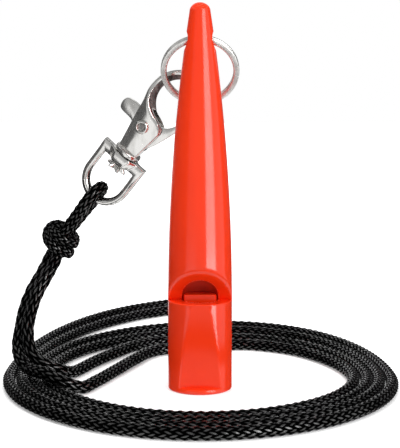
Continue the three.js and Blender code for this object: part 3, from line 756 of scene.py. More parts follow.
def loops_line(cord):
    """Out along the inner strand, round the bight and back along the outer strand, on the floor."""
    turn = np.linspace(LOOPS_START, LOOPS_END, 900)
    nearby = 1e-4
    centre = pair_centre(turn)
    heading = unit(pair_centre(turn + nearby) - pair_centre(turn - nearby))
    left = np.stack([-heading[:, 1], heading[:, 0]], axis=-1)
    half = pair_half_spacing(turn)[:, None]
    bend = np.linspace(-math.pi / 2, math.pi / 2, 41)[1:-1, None]
    bight = centre[-1] + half[-1] * (np.cos(bend) * heading[-1] + np.sin(bend) * left[-1])
    flat = np.concatenate([centre - half * left, bight, (centre + half * left)[::-1]])
    height = np.full((len(flat), 1), cord.cord_diameter / 2)
    return evenly(np.concatenate([flat, height], axis=1), CORD_STEP)


def drop_line(points, join, cord):
    """A strand from the knot to the floor that ends at join, lifted a little for the braid's thickness.

    The lift fades out towards the knot, and is greater where the strand crosses others above the floor.
    """
    fade_end, fade_over = 24, 10
    floor_lift, crossing_lift, floor_height = 0.1, 0.15, 1.3
    line = smooth_line(points[:-1] + [join.tolist()], CORD_STEP)
    height = line[:, 2]
    low = np.clip((fade_end - height) / fade_over, 0, 1)
    crossing = smooth_step((height - floor_height) / floor_height)
    line[:, 2] = np.maximum(height + low * (floor_lift + crossing_lift * crossing), cord.cord_diameter / 2)
    return line


def knot_sheets(cord):
    """The knot, on the hook's axes: two slanted wraps, a bight that stands up on the left, and two tails."""
    wrap_half_spacing, wrap_slant, bight_across = 1.25, math.radians(12), -0.9
    around = round_angles(48)
    wide, deep = KNOT_RADIUS * np.cos(around), KNOT_RADIUS * np.sin(around)
    sheets = []
    for way in (1, -1):
        along = KNOT_ALONG + way * wrap_half_spacing
        slant = way * wrap_slant
        line = np.stack([wide * math.cos(slant), along + wide * math.sin(slant), deep], axis=-1)
        sheets.append(braided_tube(line, (0, 1, 0), cord, cord.knot_length, closed=True))
    line = np.stack([wide + bight_across, KNOT_ALONG + deep, 0 * around], axis=-1)
    sheets.append(braided_tube(line, (0, 0, 1), cord, cord.knot_length, closed=True))
    for tail in KNOT_TAILS:
        line = smooth_line(tail, KNOT_STEP)
        sheets.append(braided_tube(line, (0, 0, 1), cord, cord.knot_length, cut_ends=True))
    return [sheet._replace(grid=on_hook(sheet.grid)) for sheet in sheets]


def eye_loop_line():
    """The doubled cord over the bottom of the eye, on the hook's axes."""
    angle = np.linspace(0, math.pi, 7)
    height, depth = EYE_LOOP_RADIUS * np.sin(angle), EYE_LOOP_RADIUS * np.cos(angle)
    over = np.stack([0 * angle, EYE_LOOP_ALONG + height, depth], axis=-1)
    return smooth_line(np.concatenate([EYE_LOOP_FOOT, over, EYE_LOOP_FOOT[::-1] * (1, 1, -1)]), CORD_STEP)


class WHISTLE_OT_lanyard(bpy.types.Operator):
    """Build the braided lanyard: loops on the floor, two strands, the knot and the loop on the eye"""

    bl_idname = "whistle.lanyard"
    bl_label = "Lanyard"

    def execute(self, context):
        cord = millimetres(context.scene.whistle_lanyard)
        material = shared_finish("black_braid", braided_cord)
        floor_line = loops_line(cord)

        def strand(name, line, up, stitch, start=0.0, fine=4):
            tube = braided_tube(line, up, cord, stitch, start=start, fine=fine)
            return new_piece(name, [tube], weld=False)

        def dress(piece, body, *nodes):
            finish_piece(piece, body, material, nodes, sharp=180)

        loops = strand("lanyard_loops_braid", floor_line, (0, 0, 1), cord.stitch_length, fine=2)
        dress(loops, "whistle", "lanyard_loops")
        eye_loop = strand("lanyard_eye_loop_braid", on_hook(eye_loop_line()), HOOK_ACROSS, cord.stitch_length)
        dress(eye_loop, "eye", "lanyard_eye_loop")
        knot = new_piece("lanyard_knot_braid", knot_sheets(cord), weld=False)
        dress(knot, "eye", "lanyard_knot")

        for side, points, join in (("front", DROP_FRONT, floor_line[-1]), ("rear", DROP_REAR, floor_line[0])):
            line = drop_line(points, join, cord)
            along = distance_along(line)
            near, far = np.searchsorted(along, [NECK_END, MIDDLE_END])
            pulled = cord.pulled_length
            neck = strand(f"lanyard_{side}_neck", line[:near + 1], DROP_UP, pulled)
            middle = strand(f"lanyard_{side}_middle", line[near:far + 1], DROP_UP, pulled, along[near])
            foot = strand(f"lanyard_{side}_foot", line[far:], DROP_UP, cord.stitch_length, along[far])
            for piece in (neck, middle, foot):
                dress(piece, None, f"lanyard_drop_{side}")
            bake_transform(neck)
            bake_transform(middle)
            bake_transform(foot)

        return {"FINISHED"}


# Whistle


def taper(height, body):
    """Radius by height: the foot radius less a power of the share of the taper climbed."""
    power = 2.1
    top = body.whistle_length - body.tip_dome
    share = np.clip((height - body.taper_start) / (top - body.taper_start), 0, 1)
    return body.foot_radius - (body.foot_radius - body.tip_radius) * share ** power


def softer_min(a, b, blend):
    """The smaller of two values, with the crossover rounded over the blend."""
    share = np.clip(0.5 + 0.5 * (b - a) / blend, 0, 1)
    return b + (a - b) * share - blend * share * (1 - share)


def whistle_sheets(body):
    """The whistle's skin as sheets over the angle round the axis, which meet at shared edges.

    Below the shelf the radius is the smaller of the foot radius and the beak's sloped flat. The shelf
    runs level from there to the bore. The scoop's height over the shelf is how far round to the front
    a point lies, times the bore radius and a share of the way out from there; it starts a little above
    the shelf except at the sides. Above it the radius is the taper, closed by a dome.
    """
    columns = 168
    beak_blend, brow_edge, brim_edge = 0.22, 0.28, 1.3
    run_out, lift_share = 2.5, 0.35
    above_lip, below_shelf = 0.03, 0.3
    angle = round_angles(columns)
    front = np.maximum(0, -np.sin(angle))
    front[[0, columns // 2]] = 0
    cosine, sine = np.cos(angle), np.sin(angle)
    ones = np.ones(columns)

    def sheet(radius, height, half=False, inside=0.0):
        grid = np.stack(np.broadcast_arrays(radius * cosine, radius * sine, height * ones), axis=-1)
        if half:
            grid = grid[:, np.arange(columns // 2, columns + 1) % columns]
        return Sheet(grid, not half, reading=np.full(grid.shape[:2], inside))

    shelf = body.shelf_height
    bore = body.bore_radius

    def face(height):
        share = np.clip((height - body.lip_height) / (shelf - body.lip_height), 0, 1)
        cut = body.beak_at_lip + (body.beak_at_shelf - body.beak_at_lip) * share
        flat = (body.foot_radius - cut) / np.maximum(front, 1e-3)
        return softer_min(taper(height, body), flat, beak_blend)

    # Both edges of the window run out to nothing at its two ends
    in_window = np.minimum(1, run_out * front)
    soft = brow_edge * in_window
    brim = brim_edge * in_window
    lift = body.scoop_lift * smooth_step(front / lift_share)

    def scoop_height(radius):
        return shelf + lift + front * (bore + body.scoop_slope * (radius - bore))

    # Foot edge, lip, beak and brow
    bend = QUARTER[:, None]
    edge_radius = body.foot_radius - body.foot_edge * (1 - np.sin(bend)) * ones
    edge_height = body.foot_edge * (1 - np.cos(bend)) * ones
    ledge = body.foot_radius - face(np.array([[body.lip_height]]))
    lip_fall = np.array([[0.0], [0.04], [0.15], [0.34]])
    lip_below = np.array([[0.3], [0.14], [0.05], [0.0]])
    lip_radius = body.foot_radius - np.minimum(lip_fall, ledge)
    lip_height = body.lip_height - lip_below * ones
    beak_height = np.linspace(body.lip_height + above_lip, shelf - below_shelf, 18)[:, None]
    brow_radius = face(np.array([[shelf]])) - soft * (1 - np.cos(bend))
    brow_height = shelf - soft * (1 - np.sin(bend))
    lower = sheet(
        np.concatenate([edge_radius, lip_radius, face(beak_height), brow_radius]),
        np.concatenate([edge_height, lip_height, beak_height * ones, brow_height]))

    # Shelf, scoop and the scoop's rounded brim; the scoop meets the taper at a radius found in steps
    share = np.linspace(0, 1, 7)[:, None]
    shelf_edge = brow_radius[-1:]
    ledge_sheet = sheet(shelf_edge + (bore - shelf_edge) * share, shelf * np.ones((7, 1)), half=True)
    outer = taper(shelf + 6 * front, body)
    for _ in range(6):
        outer = taper(scoop_height(outer), body)
    scoop_end = outer - brim
    scoop_radius = bore + (scoop_end - bore) * share
    scoop = sheet(scoop_radius, scoop_height(scoop_radius), half=True)
    top_height = scoop_height(outer) + brim
    corner = sheet(
        corner_curve(share, scoop_end, outer, taper(top_height, body)),
        corner_curve(share, scoop_height(scoop_end), scoop_height(outer), top_height), half=True)

    # Taper and dome; the rows are level from the climb on
    level = 30
    base = body.whistle_length - body.tip_dome
    rise = top_height + (level - top_height) * np.linspace(0, 1, 5)[:, None]
    climb = np.linspace(level, base, 40)[1:, None]
    dome = np.linspace(0, math.pi / 2, 10)[1:, None]
    upper = sheet(
        np.concatenate([taper(rise, body), taper(climb, body) * ones, body.tip_radius * np.cos(dome) * ones]),
        np.concatenate([rise, climb * ones, (base + body.tip_dome * np.sin(dome)) * ones]))

    # Mouthpiece end and bore
    mouth = np.linspace(bore, body.foot_radius - body.foot_edge, 4)[:, None]
    end = sheet(mouth * ones, np.zeros((4, 1)))
    low = np.linspace(0, shelf, 8)[:, None]
    bore_low = sheet(bore * np.ones((8, 1)), low, inside=1.0)
    start = scoop_height(bore)
    high = start + (body.bore_depth - start) * np.linspace(0, 1, 14)[:, None]
    bore_high = sheet(bore * np.ones((14, 1)), high, inside=1.0)
    close = np.array([[1.0], [0.5], [0.0]])
    bore_end = sheet(bore * close * ones, body.bore_depth * np.ones((3, 1)), inside=1.0)
    return [lower, ledge_sheet, scoop, corner, upper, end, bore_low, bore_high, bore_end]


def hole_sheet(body):
    """The cutter for the cross hole: a rod along X whose radius opens in a curve at both mouths."""
    past_wall, flare_length = 1.2, 0.9
    half = float(taper(RING_CENTRE[2], body))
    x = np.linspace(-half - past_wall, half + past_wall, 61)
    flare = np.clip((np.abs(x) - half + flare_length) / flare_length, 0, None)
    radius = body.hole_radius + body.hole_flare * flare ** 2
    profile = np.concatenate([[[0, x[0]]], np.stack([radius, x], axis=-1), [[0, x[-1]]]])
    grid = turned(profile, 48)
    return Sheet(np.stack([grid[..., 2], grid[..., 0], grid[..., 1]], axis=-1) + RING_CENTRE)


def plug_sheet(body):
    """The plug: a round section with a flat front, carried up the bore and rounded at its top edge."""
    edge = 0.35
    middle = np.array([0, 0.7])
    radius = body.bore_radius - body.clearance
    flat = math.acos((body.bore_radius - body.windway) / radius)
    arc = np.linspace(flat - math.pi / 2, 1.5 * math.pi - flat, 64)
    front = np.linspace(math.cos(arc[-1]), math.cos(arc[0]), 20)[1:-1] * radius
    depth = radius * math.sin(arc[0])
    section = np.concatenate([
        np.stack([radius * np.cos(arc), radius * np.sin(arc)], axis=-1),
        np.stack([front, np.full_like(front, depth)], axis=-1)])
    top = body.shelf_height + body.plug_rise
    bend = QUARTER[1:]
    side = np.concatenate([[0], np.linspace(0.5, top - edge, 12)])
    height = np.concatenate([side, top - edge + edge * np.sin(bend), [top]])
    inset = np.concatenate([0 * side, edge * (1 - np.cos(bend)), [radius]])
    scale = np.clip(1 - inset / radius, 0, 1)[:, None, None]
    flat_grid = middle + (section - middle) * scale
    lift = np.broadcast_to(height[:, None, None], (*flat_grid.shape[:2], 1))
    foot = np.concatenate([np.broadcast_to(middle, (1, len(section), 2)), 0 * lift[:1]], axis=-1)
    return Sheet(np.concatenate([foot, np.concatenate([flat_grid, lift], axis=-1)]))


class WHISTLE_OT_body(bpy.types.Operator):
    """Build the moulded whistle body, with its window, beak, bore and cross hole"""

    bl_idname = "whistle.body"
    bl_label = "Whistle body"

    def execute(self, context):
        body = millimetres(context.scene.whistle_sizes)
        piece = new_piece("whistle_moulding", whistle_sheets(body), layer="inside")
        combine(piece, "DIFFERENCE", hole_sheet(body))
        finish_piece(piece, "whistle", plastic_finish(), ["whistle_body"], sharp=30)
        return {"FINISHED"}


class WHISTLE_OT_plug(bpy.types.Operator):
    """Build the fipple plug in the mouthpiece"""

    bl_idname = "whistle.plug"
    bl_label = "Fipple plug"

    def execute(self, context):
        body = millimetres(context.scene.whistle_sizes)
        piece = new_piece("plug_moulding", [plug_sheet(body)])
        finish_piece(piece, "whistle", plastic_finish(), ["fipple_plug"])
        return {"FINISHED"}


# Split ring


def split_ring_sheet(body, metal):
    """Flat wire carried twice round a circle, with a smooth step across at the end of the first turn."""
    step_at, step, lean = math.radians(180), math.radians(20), math.radians(31)
    soft = 0.2
    mean = (metal.ring_diameter - metal.ring_width) / 2
    hole_half = float(taper(RING_CENTRE[2], body))
    drop = mean - (mean - math.sqrt(mean ** 2 - hole_half ** 2)) / 2
    angle = np.linspace(step_at + step / 2, step_at + 2 * TURN - step / 2, 380)
    side = (metal.ring_thickness + metal.ring_gap) / 2
    offset = side * (2 * smooth_step((angle - step_at - TURN) / step + 0.5) - 1)
    radial, axial = metal.ring_width / 2, metal.ring_thickness / 2
    corner = np.linspace(0, math.pi / 2, 4)
    quarter = np.stack([radial - soft + soft * np.cos(corner), axial - soft + soft * np.sin(corner)], axis=-1)
    section = np.concatenate([
        quarter, quarter[::-1] * (-1, 1), quarter * (-1, -1), quarter[::-1] * (1, -1)])
    out = np.stack([np.sin(angle), 0 * angle, np.cos(angle)], axis=-1)
    centre = out * mean + np.stack([0 * angle, offset, 0 * angle - drop], axis=-1)
    grid = centre[:, None] + section[None, :, :1] * out[:, None] + section[None, :, 1:] * np.array([0, 1, 0])
    x, y, z = np.moveaxis(grid, -1, 0)
    leaning = [x, y * math.cos(lean) - z * math.sin(lean), y * math.sin(lean) + z * math.cos(lean)]
    return Sheet(np.stack(leaning, axis=-1) + RING_CENTRE, cap=True)


class WHISTLE_OT_ring(bpy.types.Operator):
    """Build the split ring of flat wire"""

    bl_idname = "whistle.ring"
    bl_label = "Split ring"

    def execute(self, context):
        body = millimetres(context.scene.whistle_sizes)
        metal = millimetres(context.scene.whistle_hardware)
        piece = new_piece("split_ring_wire", [split_ring_sheet(body, metal)])
        finish_piece(piece, "ring", wire_finish(), ["split_ring"])
        return {"FINISHED"}


# Trigger hook


def eased(points, window):
    """A line whose corners are eased by a moving average; its ends stay where they are."""
    kernel = np.ones(2 * window + 1) / (2 * window + 1)
    before = 2 * points[:1] - points[window:0:-1]
    after = 2 * points[-1:] - points[-2:-window - 2:-1]
    padded = np.concatenate([before, points, after])
    return np.stack([np.convolve(column, kernel, "valid") for column in padded.T], axis=-1)


def claw_arc(radius, angle):
    return np.stack([CLAW_ACROSS + radius * np.cos(angle), CLAW_ALONG + radius * np.sin(angle)], axis=-1)


def banded(outer, inner, half, bevel, cut, fall, slope, crown):
    """A flat section carried between an outer and an inner edge.

    Across the section runs from the outer edge to the inner one, and its two faces stand half the
    thickness to the front and back, raised in the middle by the crown. The outer edge is rounded by the
    bevel. The inner edge is cut back over the cut and the fall, straight where slope is 1 and round
    where it is 0. Returns the grid and a reading that is 1 on the inner wall.
    """
    span = inner - outer
    width = np.linalg.norm(span, axis=1)[:, None]
    over = span / width
    bevel, cut, fall, slope, crown = (value[:, None] for value in (bevel, cut, fall, slope, crown))
    out_cut = bevel * (1 - np.cos(QUARTER))
    out_fall = bevel * (1 - np.sin(QUARTER))
    way = np.array([1, 0.93, 0.75, 0.5, 0.25, 0])
    turn = way * math.pi / 2
    in_cut = cut * ((1 - slope) * (1 - np.cos(turn)) + slope * way)
    in_fall = fall * ((1 - slope) * (1 - np.sin(turn)) + slope * (1 - way))
    share = np.linspace(0, 1, 10)[1:-1]
    across = np.concatenate([out_cut, bevel + (width - cut - bevel) * share, width - in_cut], axis=1)
    rise = -crown * (1 - (2 * share - 1) ** 2)
    height = half[:, None] - np.concatenate([out_fall, rise, in_fall], axis=1)
    across = np.concatenate([across, across[:, ::-1]], axis=1)
    height = np.concatenate([height, -height[:, ::-1]], axis=1)
    flat = outer[:, None] + over[:, None] * across[..., None]
    inside = np.concatenate([np.zeros(len(QUARTER) + len(share)), way < 1])
    inside = np.broadcast_to(np.concatenate([inside, inside[::-1]]), across.shape)
    return np.concatenate([flat, height[..., None]], axis=-1), inside


def hook_sheet(metal):
    """The claw and body: from the nose round the claw to its root, then down to the flange.

    The claw's inner wall slopes. Towards the root the section grows full and its wall upright.
    """
    claw_count, crook_count, waist_count, body_count = 84, 13, 18, 26
    inner_radius = metal.claw_outer - metal.claw_band
    claw = np.linspace(CLAW_NOSE, CLAW_ROOT, claw_count)
    crook = np.linspace(CLAW_ROOT, CLAW_CROOK, crook_count + 1)[1:]
    foot = FLANGE_FOOT + metal.flange_thickness / 2
    outer = np.concatenate([
        claw_arc(metal.claw_outer, claw),
        straight(claw_arc(metal.claw_outer, CLAW_ROOT), WAIST, waist_count),
        straight(WAIST, (-BODY_FOOT_HALF, foot), body_count)])
    inner = np.concatenate([
        claw_arc(inner_radius, claw), claw_arc(inner_radius, crook),
        straight(claw_arc(inner_radius, CLAW_CROOK), SHOULDER, waist_count - crook_count),
        straight(SHOULDER, (BODY_FOOT_HALF, foot), body_count)])
    thickness = np.concatenate([
        np.interp(claw, [CLAW_NOSE, CLAW_SPINE, CLAW_ROOT],
                  [metal.nose_thickness, metal.spine_thickness, metal.root_thickness]),
        np.full(waist_count + body_count, metal.root_thickness)])
    station = np.arange(len(thickness))
    full_from, full_over = 78, 16
    slope_until, slope_over = 94, 10
    full = smooth_step((station - full_from) / full_over)
    slope = 1 - smooth_step((station - slope_until) / slope_over)
    least_crown, more_crown, sunk_crown = 0.04, 0.3, 0.8
    least_bevel, more_bevel = 0.35, 0.3
    edge, left_at_wall = 0.6, 0.15
    crown = least_crown + more_crown * full
    half = eased(thickness[:, None], 6)[:, 0] / 2 - sunk_crown * crown
    bevel = least_bevel + more_bevel * full
    cut = edge + edge * slope
    fall = edge + (half - left_at_wall - edge) * slope
    grid, inside = banded(eased(outer, 4), eased(inner, 3), half, bevel, cut, fall, slope, crown)
    # The reading marks the claw's sloped inner wall, which the finish paints dark as shade on a less polished
    # plate.
    return Sheet(on_hook(grid), cap=True, reading=inside * slope[:, None])


def block(outline, thickness):
    """A flat outline given a thickness, centred on the hook's middle plane."""
    outline = np.asarray(outline, dtype=float)
    side = np.full((len(outline), 1), thickness / 2)
    faces = [np.concatenate([outline, -side], axis=1), np.concatenate([outline, side], axis=1)]
    return Sheet(on_hook(np.stack(faces)), cap=True)


class WHISTLE_OT_hook(bpy.types.Operator):
    """Build the hook's casting: claw, body with its slot, and foot flange"""

    bl_idname = "whistle.hook"
    bl_label = "Hook casting"

    def execute(self, context):
        metal = millimetres(context.scene.whistle_hardware)
        piece = new_piece("hook_casting", [hook_sheet(metal)], layer="inside")
        top = FLANGE_FOOT + metal.flange_thickness
        rim = metal.flange_radius
        profile = rounded([(0, FLANGE_FOOT), (rim, FLANGE_FOOT), (rim, top), (0, top)], FLANGE_EDGE)
        combine(piece, "UNION", Sheet(upright(turned(profile, 72))))
        wide = 2 * metal.claw_outer
        slot = [(-wide, SLOT_FLOOR), (wide, SLOT_FLOOR), (wide, SLOT_CEILING), (-wide, SLOT_CEILING)]
        combine(piece, "DIFFERENCE", block(slot, SLOT_THICKNESS))
        finish_piece(piece, "hook", casting_finish(), ["hook_body"])
        return {"FINISHED"}


# Gate


def lever_outline(metal):
    """Outline of the thumb tab, hub and gate arm about the pivot, with its corners cut three times."""
    hub = LEVER_HUB
    tip_width, arm_width = 0.6, 1.3
    slope = np.array([math.sin(ARM_LEAN), math.cos(ARM_LEAN)])
    inward = np.array([-slope[1], slope[0]])
    foot = np.array(ARM_FOOT)
    to_foot = foot - np.array([CLAW_ACROSS - PIVOT_ACROSS, CLAW_ALONG - PIVOT_ALONG])
    middle = float(to_foot @ slope)
    limit = metal.claw_outer - metal.claw_band - ARM_CLEARANCE
    reach = -middle + math.sqrt(middle ** 2 - float(to_foot @ to_foot) + limit ** 2)
    tip = foot + slope * reach
    points = np.array([
        foot, tip, tip + tip_width * inward, foot + slope * reach / 2 + arm_width * inward,
        (hub + 1, hub), (0, hub), (-1.4, 2.6), (-2.6, 2.95), (-6.5, 2.95), (-7.5, 2.2), (-7.5, 0.3),
        (-6.7, -0.6), (-3.4, -0.6), (-2.8, -1.4), (-0.9, -1.4), (-0.6, -hub), (hub, -3.7)])
    for _ in range(3):
        following = np.roll(points, -1, axis=0)
        cuts = [0.75 * points + 0.25 * following, 0.25 * points + 0.75 * following]
        points = np.stack(cuts, axis=1).reshape(-1, 2)
    return points


def lever_sheet(metal):
    """The lever: its outline drawn in at both faces so that its edges are round."""
    outline = lever_outline(metal)
    along = unit(np.roll(outline, -1, axis=0) - np.roll(outline, 1, axis=0))
    inward = np.stack([-along[:, 1], along[:, 0]], axis=-1)
    half = metal.lever_thickness / 2
    drawn_in = LEVER_EDGE * (1 - np.sin(QUARTER))
    face = half - LEVER_EDGE * (1 - np.cos(QUARTER))
    inset = np.concatenate([drawn_in, drawn_in[::-1]])
    height = np.concatenate([-face, face[::-1]])
    flat = outline[None] + inset[:, None, None] * inward[None]
    grid = np.concatenate([flat, np.broadcast_to(height[:, None, None], (*flat.shape[:2], 1))], axis=-1)
    return Sheet(at_pivot(grid), cap=True)


def gate_rivet_sheet(metal):
    """The gate rivet: a head with a bowl in it in front, dull and painted darker as shade, and a plain head
    behind.
    """
    clear, head_height, edge = 0.02, 0.7, 0.2
    bowl_radius, bowl_dullness_and_shade = 0.9, 0.7
    seat = metal.root_thickness / 2 + clear
    top = seat + head_height
    rim = metal.rivet_radius
    head = [(1.0, seat), (rim, seat), (rim, top - 0.25), (rim - 0.3, top), (1.05, top), (0.85, top - 0.3),
            (0.7, top - 0.5), (0, top - 0.42)]
    back = [(radius, -height) for radius, height in head[:5]] + [(0, -top)]
    grid = turned(rounded(back[::-1] + head, edge), 56)
    bowl = (grid[..., 2] > 0) * (np.hypot(grid[..., 0], grid[..., 1]) < bowl_radius)
    # The bowl's reading dulls the plate there and paints shade into it.
    return Sheet(at_pivot(grid), reading=bowl_dullness_and_shade * bowl)


def spring_sheet():
    """The spring that stands in the slot under the thumb tab: a round wire wound along the hook."""
    above_floor = 0.45
    turns = np.linspace(0, SPRING_TURNS * TURN, 90)
    out = np.stack([np.cos(turns), 0 * turns, np.sin(turns)], axis=-1)
    rise = SLOT_FLOOR + above_floor + SPRING_LENGTH * smooth_step(turns / turns[-1])
    middle = np.stack([SPRING_ACROSS + 0 * turns, rise, 0 * turns], axis=-1)
    line = middle + SPRING_RADIUS * out
    side = np.cross(unit(np.gradient(line, axis=0)), out)
    return Sheet(on_hook(swept(line, out, side, SPRING_WIRE, round_angles(12))), cap=True)


class WHISTLE_OT_gate(bpy.types.Operator):
    """Build the gate lever, its rivet and its spring"""

    bl_idname = "whistle.gate"
    bl_label = "Gate"

    def execute(self, context):
        metal = millimetres(context.scene.whistle_hardware)
        lever = new_piece("gate_lever_plate", [lever_sheet(metal)])
        past = 3
        hole = turned([(0, -past), (PIVOT_HOLE, -past), (PIVOT_HOLE, past), (0, past)], 40)
        combine(lever, "DIFFERENCE", Sheet(at_pivot(hole)))
        finish_piece(lever, "gate", casting_finish(), ["gate_lever"])
        rivet = new_piece("gate_rivet_head", [gate_rivet_sheet(metal)], layer="inside")
        finish_piece(rivet, "hook", casting_finish(), ["gate_rivet"])
        spring = new_piece("gate_spring_wire", [spring_sheet()])
        steel = shared_finish("drawn_wire", drawn_steel)
        finish_piece(spring, "hook", steel, ["gate_spring"])
        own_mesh(spring)
        return {"FINISHED"}


# Swivel eye


def eye_edge(half, top, length):
    """The D's edge: along the bar, down the straight side, round an ellipse and back up."""
    bar_count, side_count, bow_count = 30, 14, 48
    angle = np.linspace(0, -math.pi, bow_count)
    bow = np.stack([half * np.cos(angle), BOW_START + (length + BOW_START) * np.sin(angle)], axis=-1)
    return np.concatenate([
        [[0, top]], straight((0, top), (half, top), bar_count),
        straight((half, top), (half, BOW_START), side_count)[:-1], bow,
        straight((-half, BOW_START), (-half, top), side_count)[:-1],
        [[-half, top]], straight((-half, top), (0, top), bar_count)[:-1]])


def eye_sheet(metal):
    """The eye: a band carried round the D, whose bar swells to the barrel in its middle."""
    swell_from, swell_over = 4, 2.2
    bar_bevel, more_bevel, bevel_from, bevel_over = 0.5, 0.35, -1, 2
    crown = 0.06
    half_width = metal.eye_width / 2
    outer = eye_edge(half_width, 0, metal.eye_length)
    inner = eye_edge(half_width - metal.eye_band, -metal.bar_height, metal.eye_length - metal.eye_band)
    swell = metal.barrel_radius - metal.eye_thickness / 2
    on_bar = outer[:, 1] > -0.01
    share = on_bar * smooth_step((swell_from - np.abs(outer[:, 0])) / swell_over)
    half = metal.eye_thickness / 2 + swell * share
    bevel = bar_bevel + more_bevel * smooth_step((bevel_from - outer[:, 1]) / bevel_over)
    round_edge = 0 * bevel
    grid, _ = banded(outer, inner, half, bevel, bevel, bevel, round_edge, crown + 0 * bevel)
    return Sheet(on_hook(grid), loop=True)


def swivel_rivet_sheet(metal):
    """The swivel rivet: a shank through the barrel, and a head under the bar that is splayed in petals."""
    clear, edge = 0.3, 0.15
    count, depth, drawn_in, splay_over = 6, 0.32, 0.6, 0.6
    shank, shank_top = 1.15, 0.25
    seat = -metal.bar_height - clear
    reach = metal.swivel_radius

    def petals(angle, height):
        return 1 + smooth_step((seat - height) / splay_over) * depth * (np.cos(count * angle) - drawn_in)

    profile = rounded([
        (0, seat - 0.7), (0.6, seat - 0.75), (1.1, seat - 1.2), (reach, seat - 1.3), (reach, seat - 0.9),
        (1.5, seat), (shank, seat), (shank, shank_top), (0, shank_top)], edge)
    return Sheet(upright(turned(profile, 72, petals)))


class WHISTLE_OT_eye(bpy.types.Operator):
    """Build the swivel eye with its barrel, and the rivet that holds it"""

    bl_idname = "whistle.eye"
    bl_label = "Swivel eye"

    def execute(self, context):
        metal = millimetres(context.scene.whistle_hardware)
        eye = new_piece("swivel_eye_casting", [eye_sheet(metal)])
        below, above = -6, 3
        hole = turned([(0, below), (BARREL_HOLE, below), (BARREL_HOLE, above), (0, above)], 40)
        combine(eye, "DIFFERENCE", Sheet(upright(hole)))
        finish_piece(eye, "eye", casting_finish(), ["swivel_eye"])
        rivet = new_piece("swivel_rivet_head", [swivel_rivet_sheet(metal)])
        finish_piece(rivet, "hook", casting_finish(), ["swivel_rivet"])
        return {"FINISHED"}


# Stage, in metres


def soft_lamp(name, place, target, width, height, power):
    """A rectangular lamp that looks at a target and doesn't show in gloss."""
    lamp = bpy.data.lights.new(name, "AREA")
    lamp.shape = "RECTANGLE"
    lamp.size = width
    lamp.size_y = height
    lamp.energy = power
    holder = new_object(name, lamp)
    holder.location = place
    holder.rotation_euler = (Vector(target) - Vector(place)).to_track_quat("-Z", "Y").to_euler()
    holder.visible_glossy = False


def seen_directly(tree):
    """1 on rays from the camera and on mirrored or refracted ones, 0 on light that falls on things."""
    path = tree.nodes.new("ShaderNodeLightPath").outputs
    mirrored = calc(tree, "MAXIMUM", path["Is Camera Ray"], path["Is Glossy Ray"])
    return calc(tree, "MAXIMUM", mirrored, path["Is Transmission Ray"])


def floor_finish(finishes):
    """A white floor that keeps its shadows: where it is seen it also shines, more so away from the object."""
    material, tree, shader = new_finish("studio_floor")
    far = tree.nodes.new("ShaderNodeVectorMath")
    far.operation = "LENGTH"
    tree.links.new(own_places(tree), far.inputs[0])
    own_light = spread(tree, far.outputs["Value"], 0.3, 1.0, 0.1, 0.6)
    feed(tree, shader, {
        "Base Color": (*finishes.floor, 1),
        "Roughness": 0.9,
        "Specular IOR Level": 0,
        "Emission Color": WHITE,
        "Emission Strength": calc(tree, "MULTIPLY", own_light, seen_directly(tree)),
    })
    return material


def card_finish(name, tone, glow):
    """A matt card: a dark one shows as a dark edge in gloss, and one that glows as a soft band of light."""
    material, tree, shader = new_finish(name)
    feed(tree, shader, {
        "Base Color": (tone, tone, tone, 1),
        "Roughness": 1,
        "Specular IOR Level": 0,
        "Emission Color": WHITE,
        "Emission Strength": glow,
    })
    return material


def hang_card(name, material, places):
    """A card that only lights the object and shows in its gloss."""
    grid = np.stack(np.broadcast_arrays(*places), axis=-1) / MM
    piece = new_piece(name, [Sheet(grid, wrap=False)])
    piece.data.materials.append(material)
    piece.visible_camera = False
    return piece


def bent_card(name, material, radius, start, end, low, high):
    """A card bent round the object: angles in degrees count from the camera's side towards the left."""
    angle = np.radians(np.linspace(start, end, 25))
    height = np.array([[low], [high]])
    return hang_card(name, material, (-radius * np.sin(angle), -radius * np.cos(angle), height))


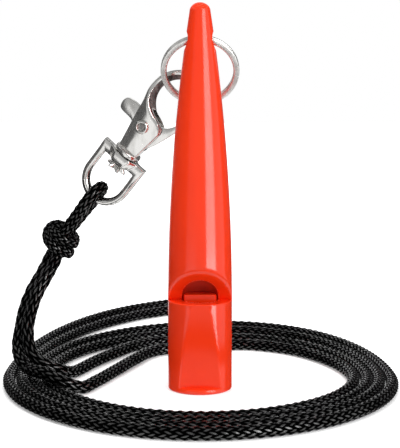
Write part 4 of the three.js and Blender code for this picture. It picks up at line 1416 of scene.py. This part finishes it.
class WHISTLE_OT_stage(bpy.types.Operator):
    """Set up the camera, the white floor, the soft lamps and the cards"""

    bl_idname = "whistle.stage"
    bl_label = "Stage"

    def execute(self, context):
        scene = context.scene
        scene.view_settings.view_transform = "Standard"
        camera = bpy.data.cameras.new("camera")
        camera.lens = CAMERA_LENS
        camera.sensor_width = 36
        camera.clip_start = 0.01
        holder = new_object("camera", camera)
        holder.location = CAMERA_PLACE
        holder.rotation_euler = CAMERA_TILT
        scene.camera = holder

        floor_half = 1500
        side = np.linspace(-floor_half, floor_half, 7)
        x, y = np.meshgrid(side, side)
        floor = new_piece("floor", [Sheet(np.stack([x, y, 0 * x], axis=-1), wrap=False)])
        floor.data.materials.append(floor_finish(scene.whistle_finishes))
        floor.visible_glossy = False

        world = bpy.data.worlds.new("studio")
        scene.world = world
        world.use_nodes = True
        tree = world.node_tree
        strength = spread(tree, seen_directly(tree), 0.45, 1.0)
        feed(tree, tree.nodes["Background"], {"Color": WHITE, "Strength": strength})

        soft_lamp("key", (0.2, -0.5, 0.6), (0, 0, 0.04), 0.5, 0.5, 2.8)
        soft_lamp("side", (0.45, -0.53, 0.3), (0, 0, 0.03), 0.2, 0.5, 2.6)
        soft_lamp("top", (-0.1, 0.15, 0.7), (0, 0, 0.03), 0.6, 0.6, 4.2)
        dark = card_finish("dark_card", 0.12, 0.0)
        bent_card("card_left", dark, 0.25, 50, 150, -0.15, 0.2)
        bent_card("card_right", dark, 0.4, -100, -165, -0.2, 0.3)
        grey = card_finish("grey_card", 0.0, 0.45)
        bent_card("card_camera", grey, 0.6, -22, 14, -0.3, 0.5)
        bent_card("card_corner", grey, 0.6, 14, 52, -0.02, 0.5)
        ceiling_half, ceiling_height = np.array([-0.45, 0.45]), 0.45
        ceiling = hang_card(
            "card_top", card_finish("ceiling_card", 0.0, 0.3),
            (ceiling_half[:, None], ceiling_half, ceiling_height))
        ceiling.visible_diffuse = ceiling.visible_shadow = False
        glow = card_finish("bright_card", 0.8, 5.0)
        low_glow = card_finish("brighter_card", 0.8, 9.0)
        for shine, low, high in ((glow, -0.03, 0.5), (low_glow, -0.17, -0.03)):
            shine.cycles.emission_sampling = "NONE"
            bent_card(f"band_{shine.name}", shine, 0.7, -58, -23, low, high).visible_diffuse = False
        return {"FINISHED"}


class WHISTLE_PT_sidebar(bpy.types.Panel):
    """Lists the builders of the whistle"""

    bl_idname = "WHISTLE_PT_sidebar"
    bl_label = "Dog whistle"
    bl_space_type = "VIEW_3D"
    bl_region_type = "UI"
    bl_category = "Whistle"

    def draw(self, context):
        for builder in BUILDERS:
            self.layout.operator(builder.bl_idname)


BUILDERS = (
    WHISTLE_OT_stage, WHISTLE_OT_lanyard, WHISTLE_OT_body, WHISTLE_OT_plug, WHISTLE_OT_ring, WHISTLE_OT_hook,
    WHISTLE_OT_gate, WHISTLE_OT_eye)
GROUPS = {
    "whistle_sizes": WhistleSizes,
    "whistle_hardware": HardwareSizes,
    "whistle_lanyard": LanyardSizes,
    "whistle_finishes": Finishes,
}
CLASSES = (*GROUPS.values(), *BUILDERS, WHISTLE_PT_sidebar)


def register():
    for item in CLASSES:
        bpy.utils.register_class(item)
    for name, group in GROUPS.items():
        setattr(bpy.types.Scene, name, PointerProperty(type=group))


def unregister():
    for name in GROUPS:
        delattr(bpy.types.Scene, name)
    for item in reversed(CLASSES):
        bpy.utils.unregister_class(item)


def main():
    register()
    bpy.ops.whistle.stage()
    bpy.ops.whistle.lanyard()
    bpy.ops.whistle.body()
    bpy.ops.whistle.plug()
    bpy.ops.whistle.ring()
    bpy.ops.whistle.hook()
    bpy.ops.whistle.gate()
    bpy.ops.whistle.eye()


if __name__ == "__main__":
    main()
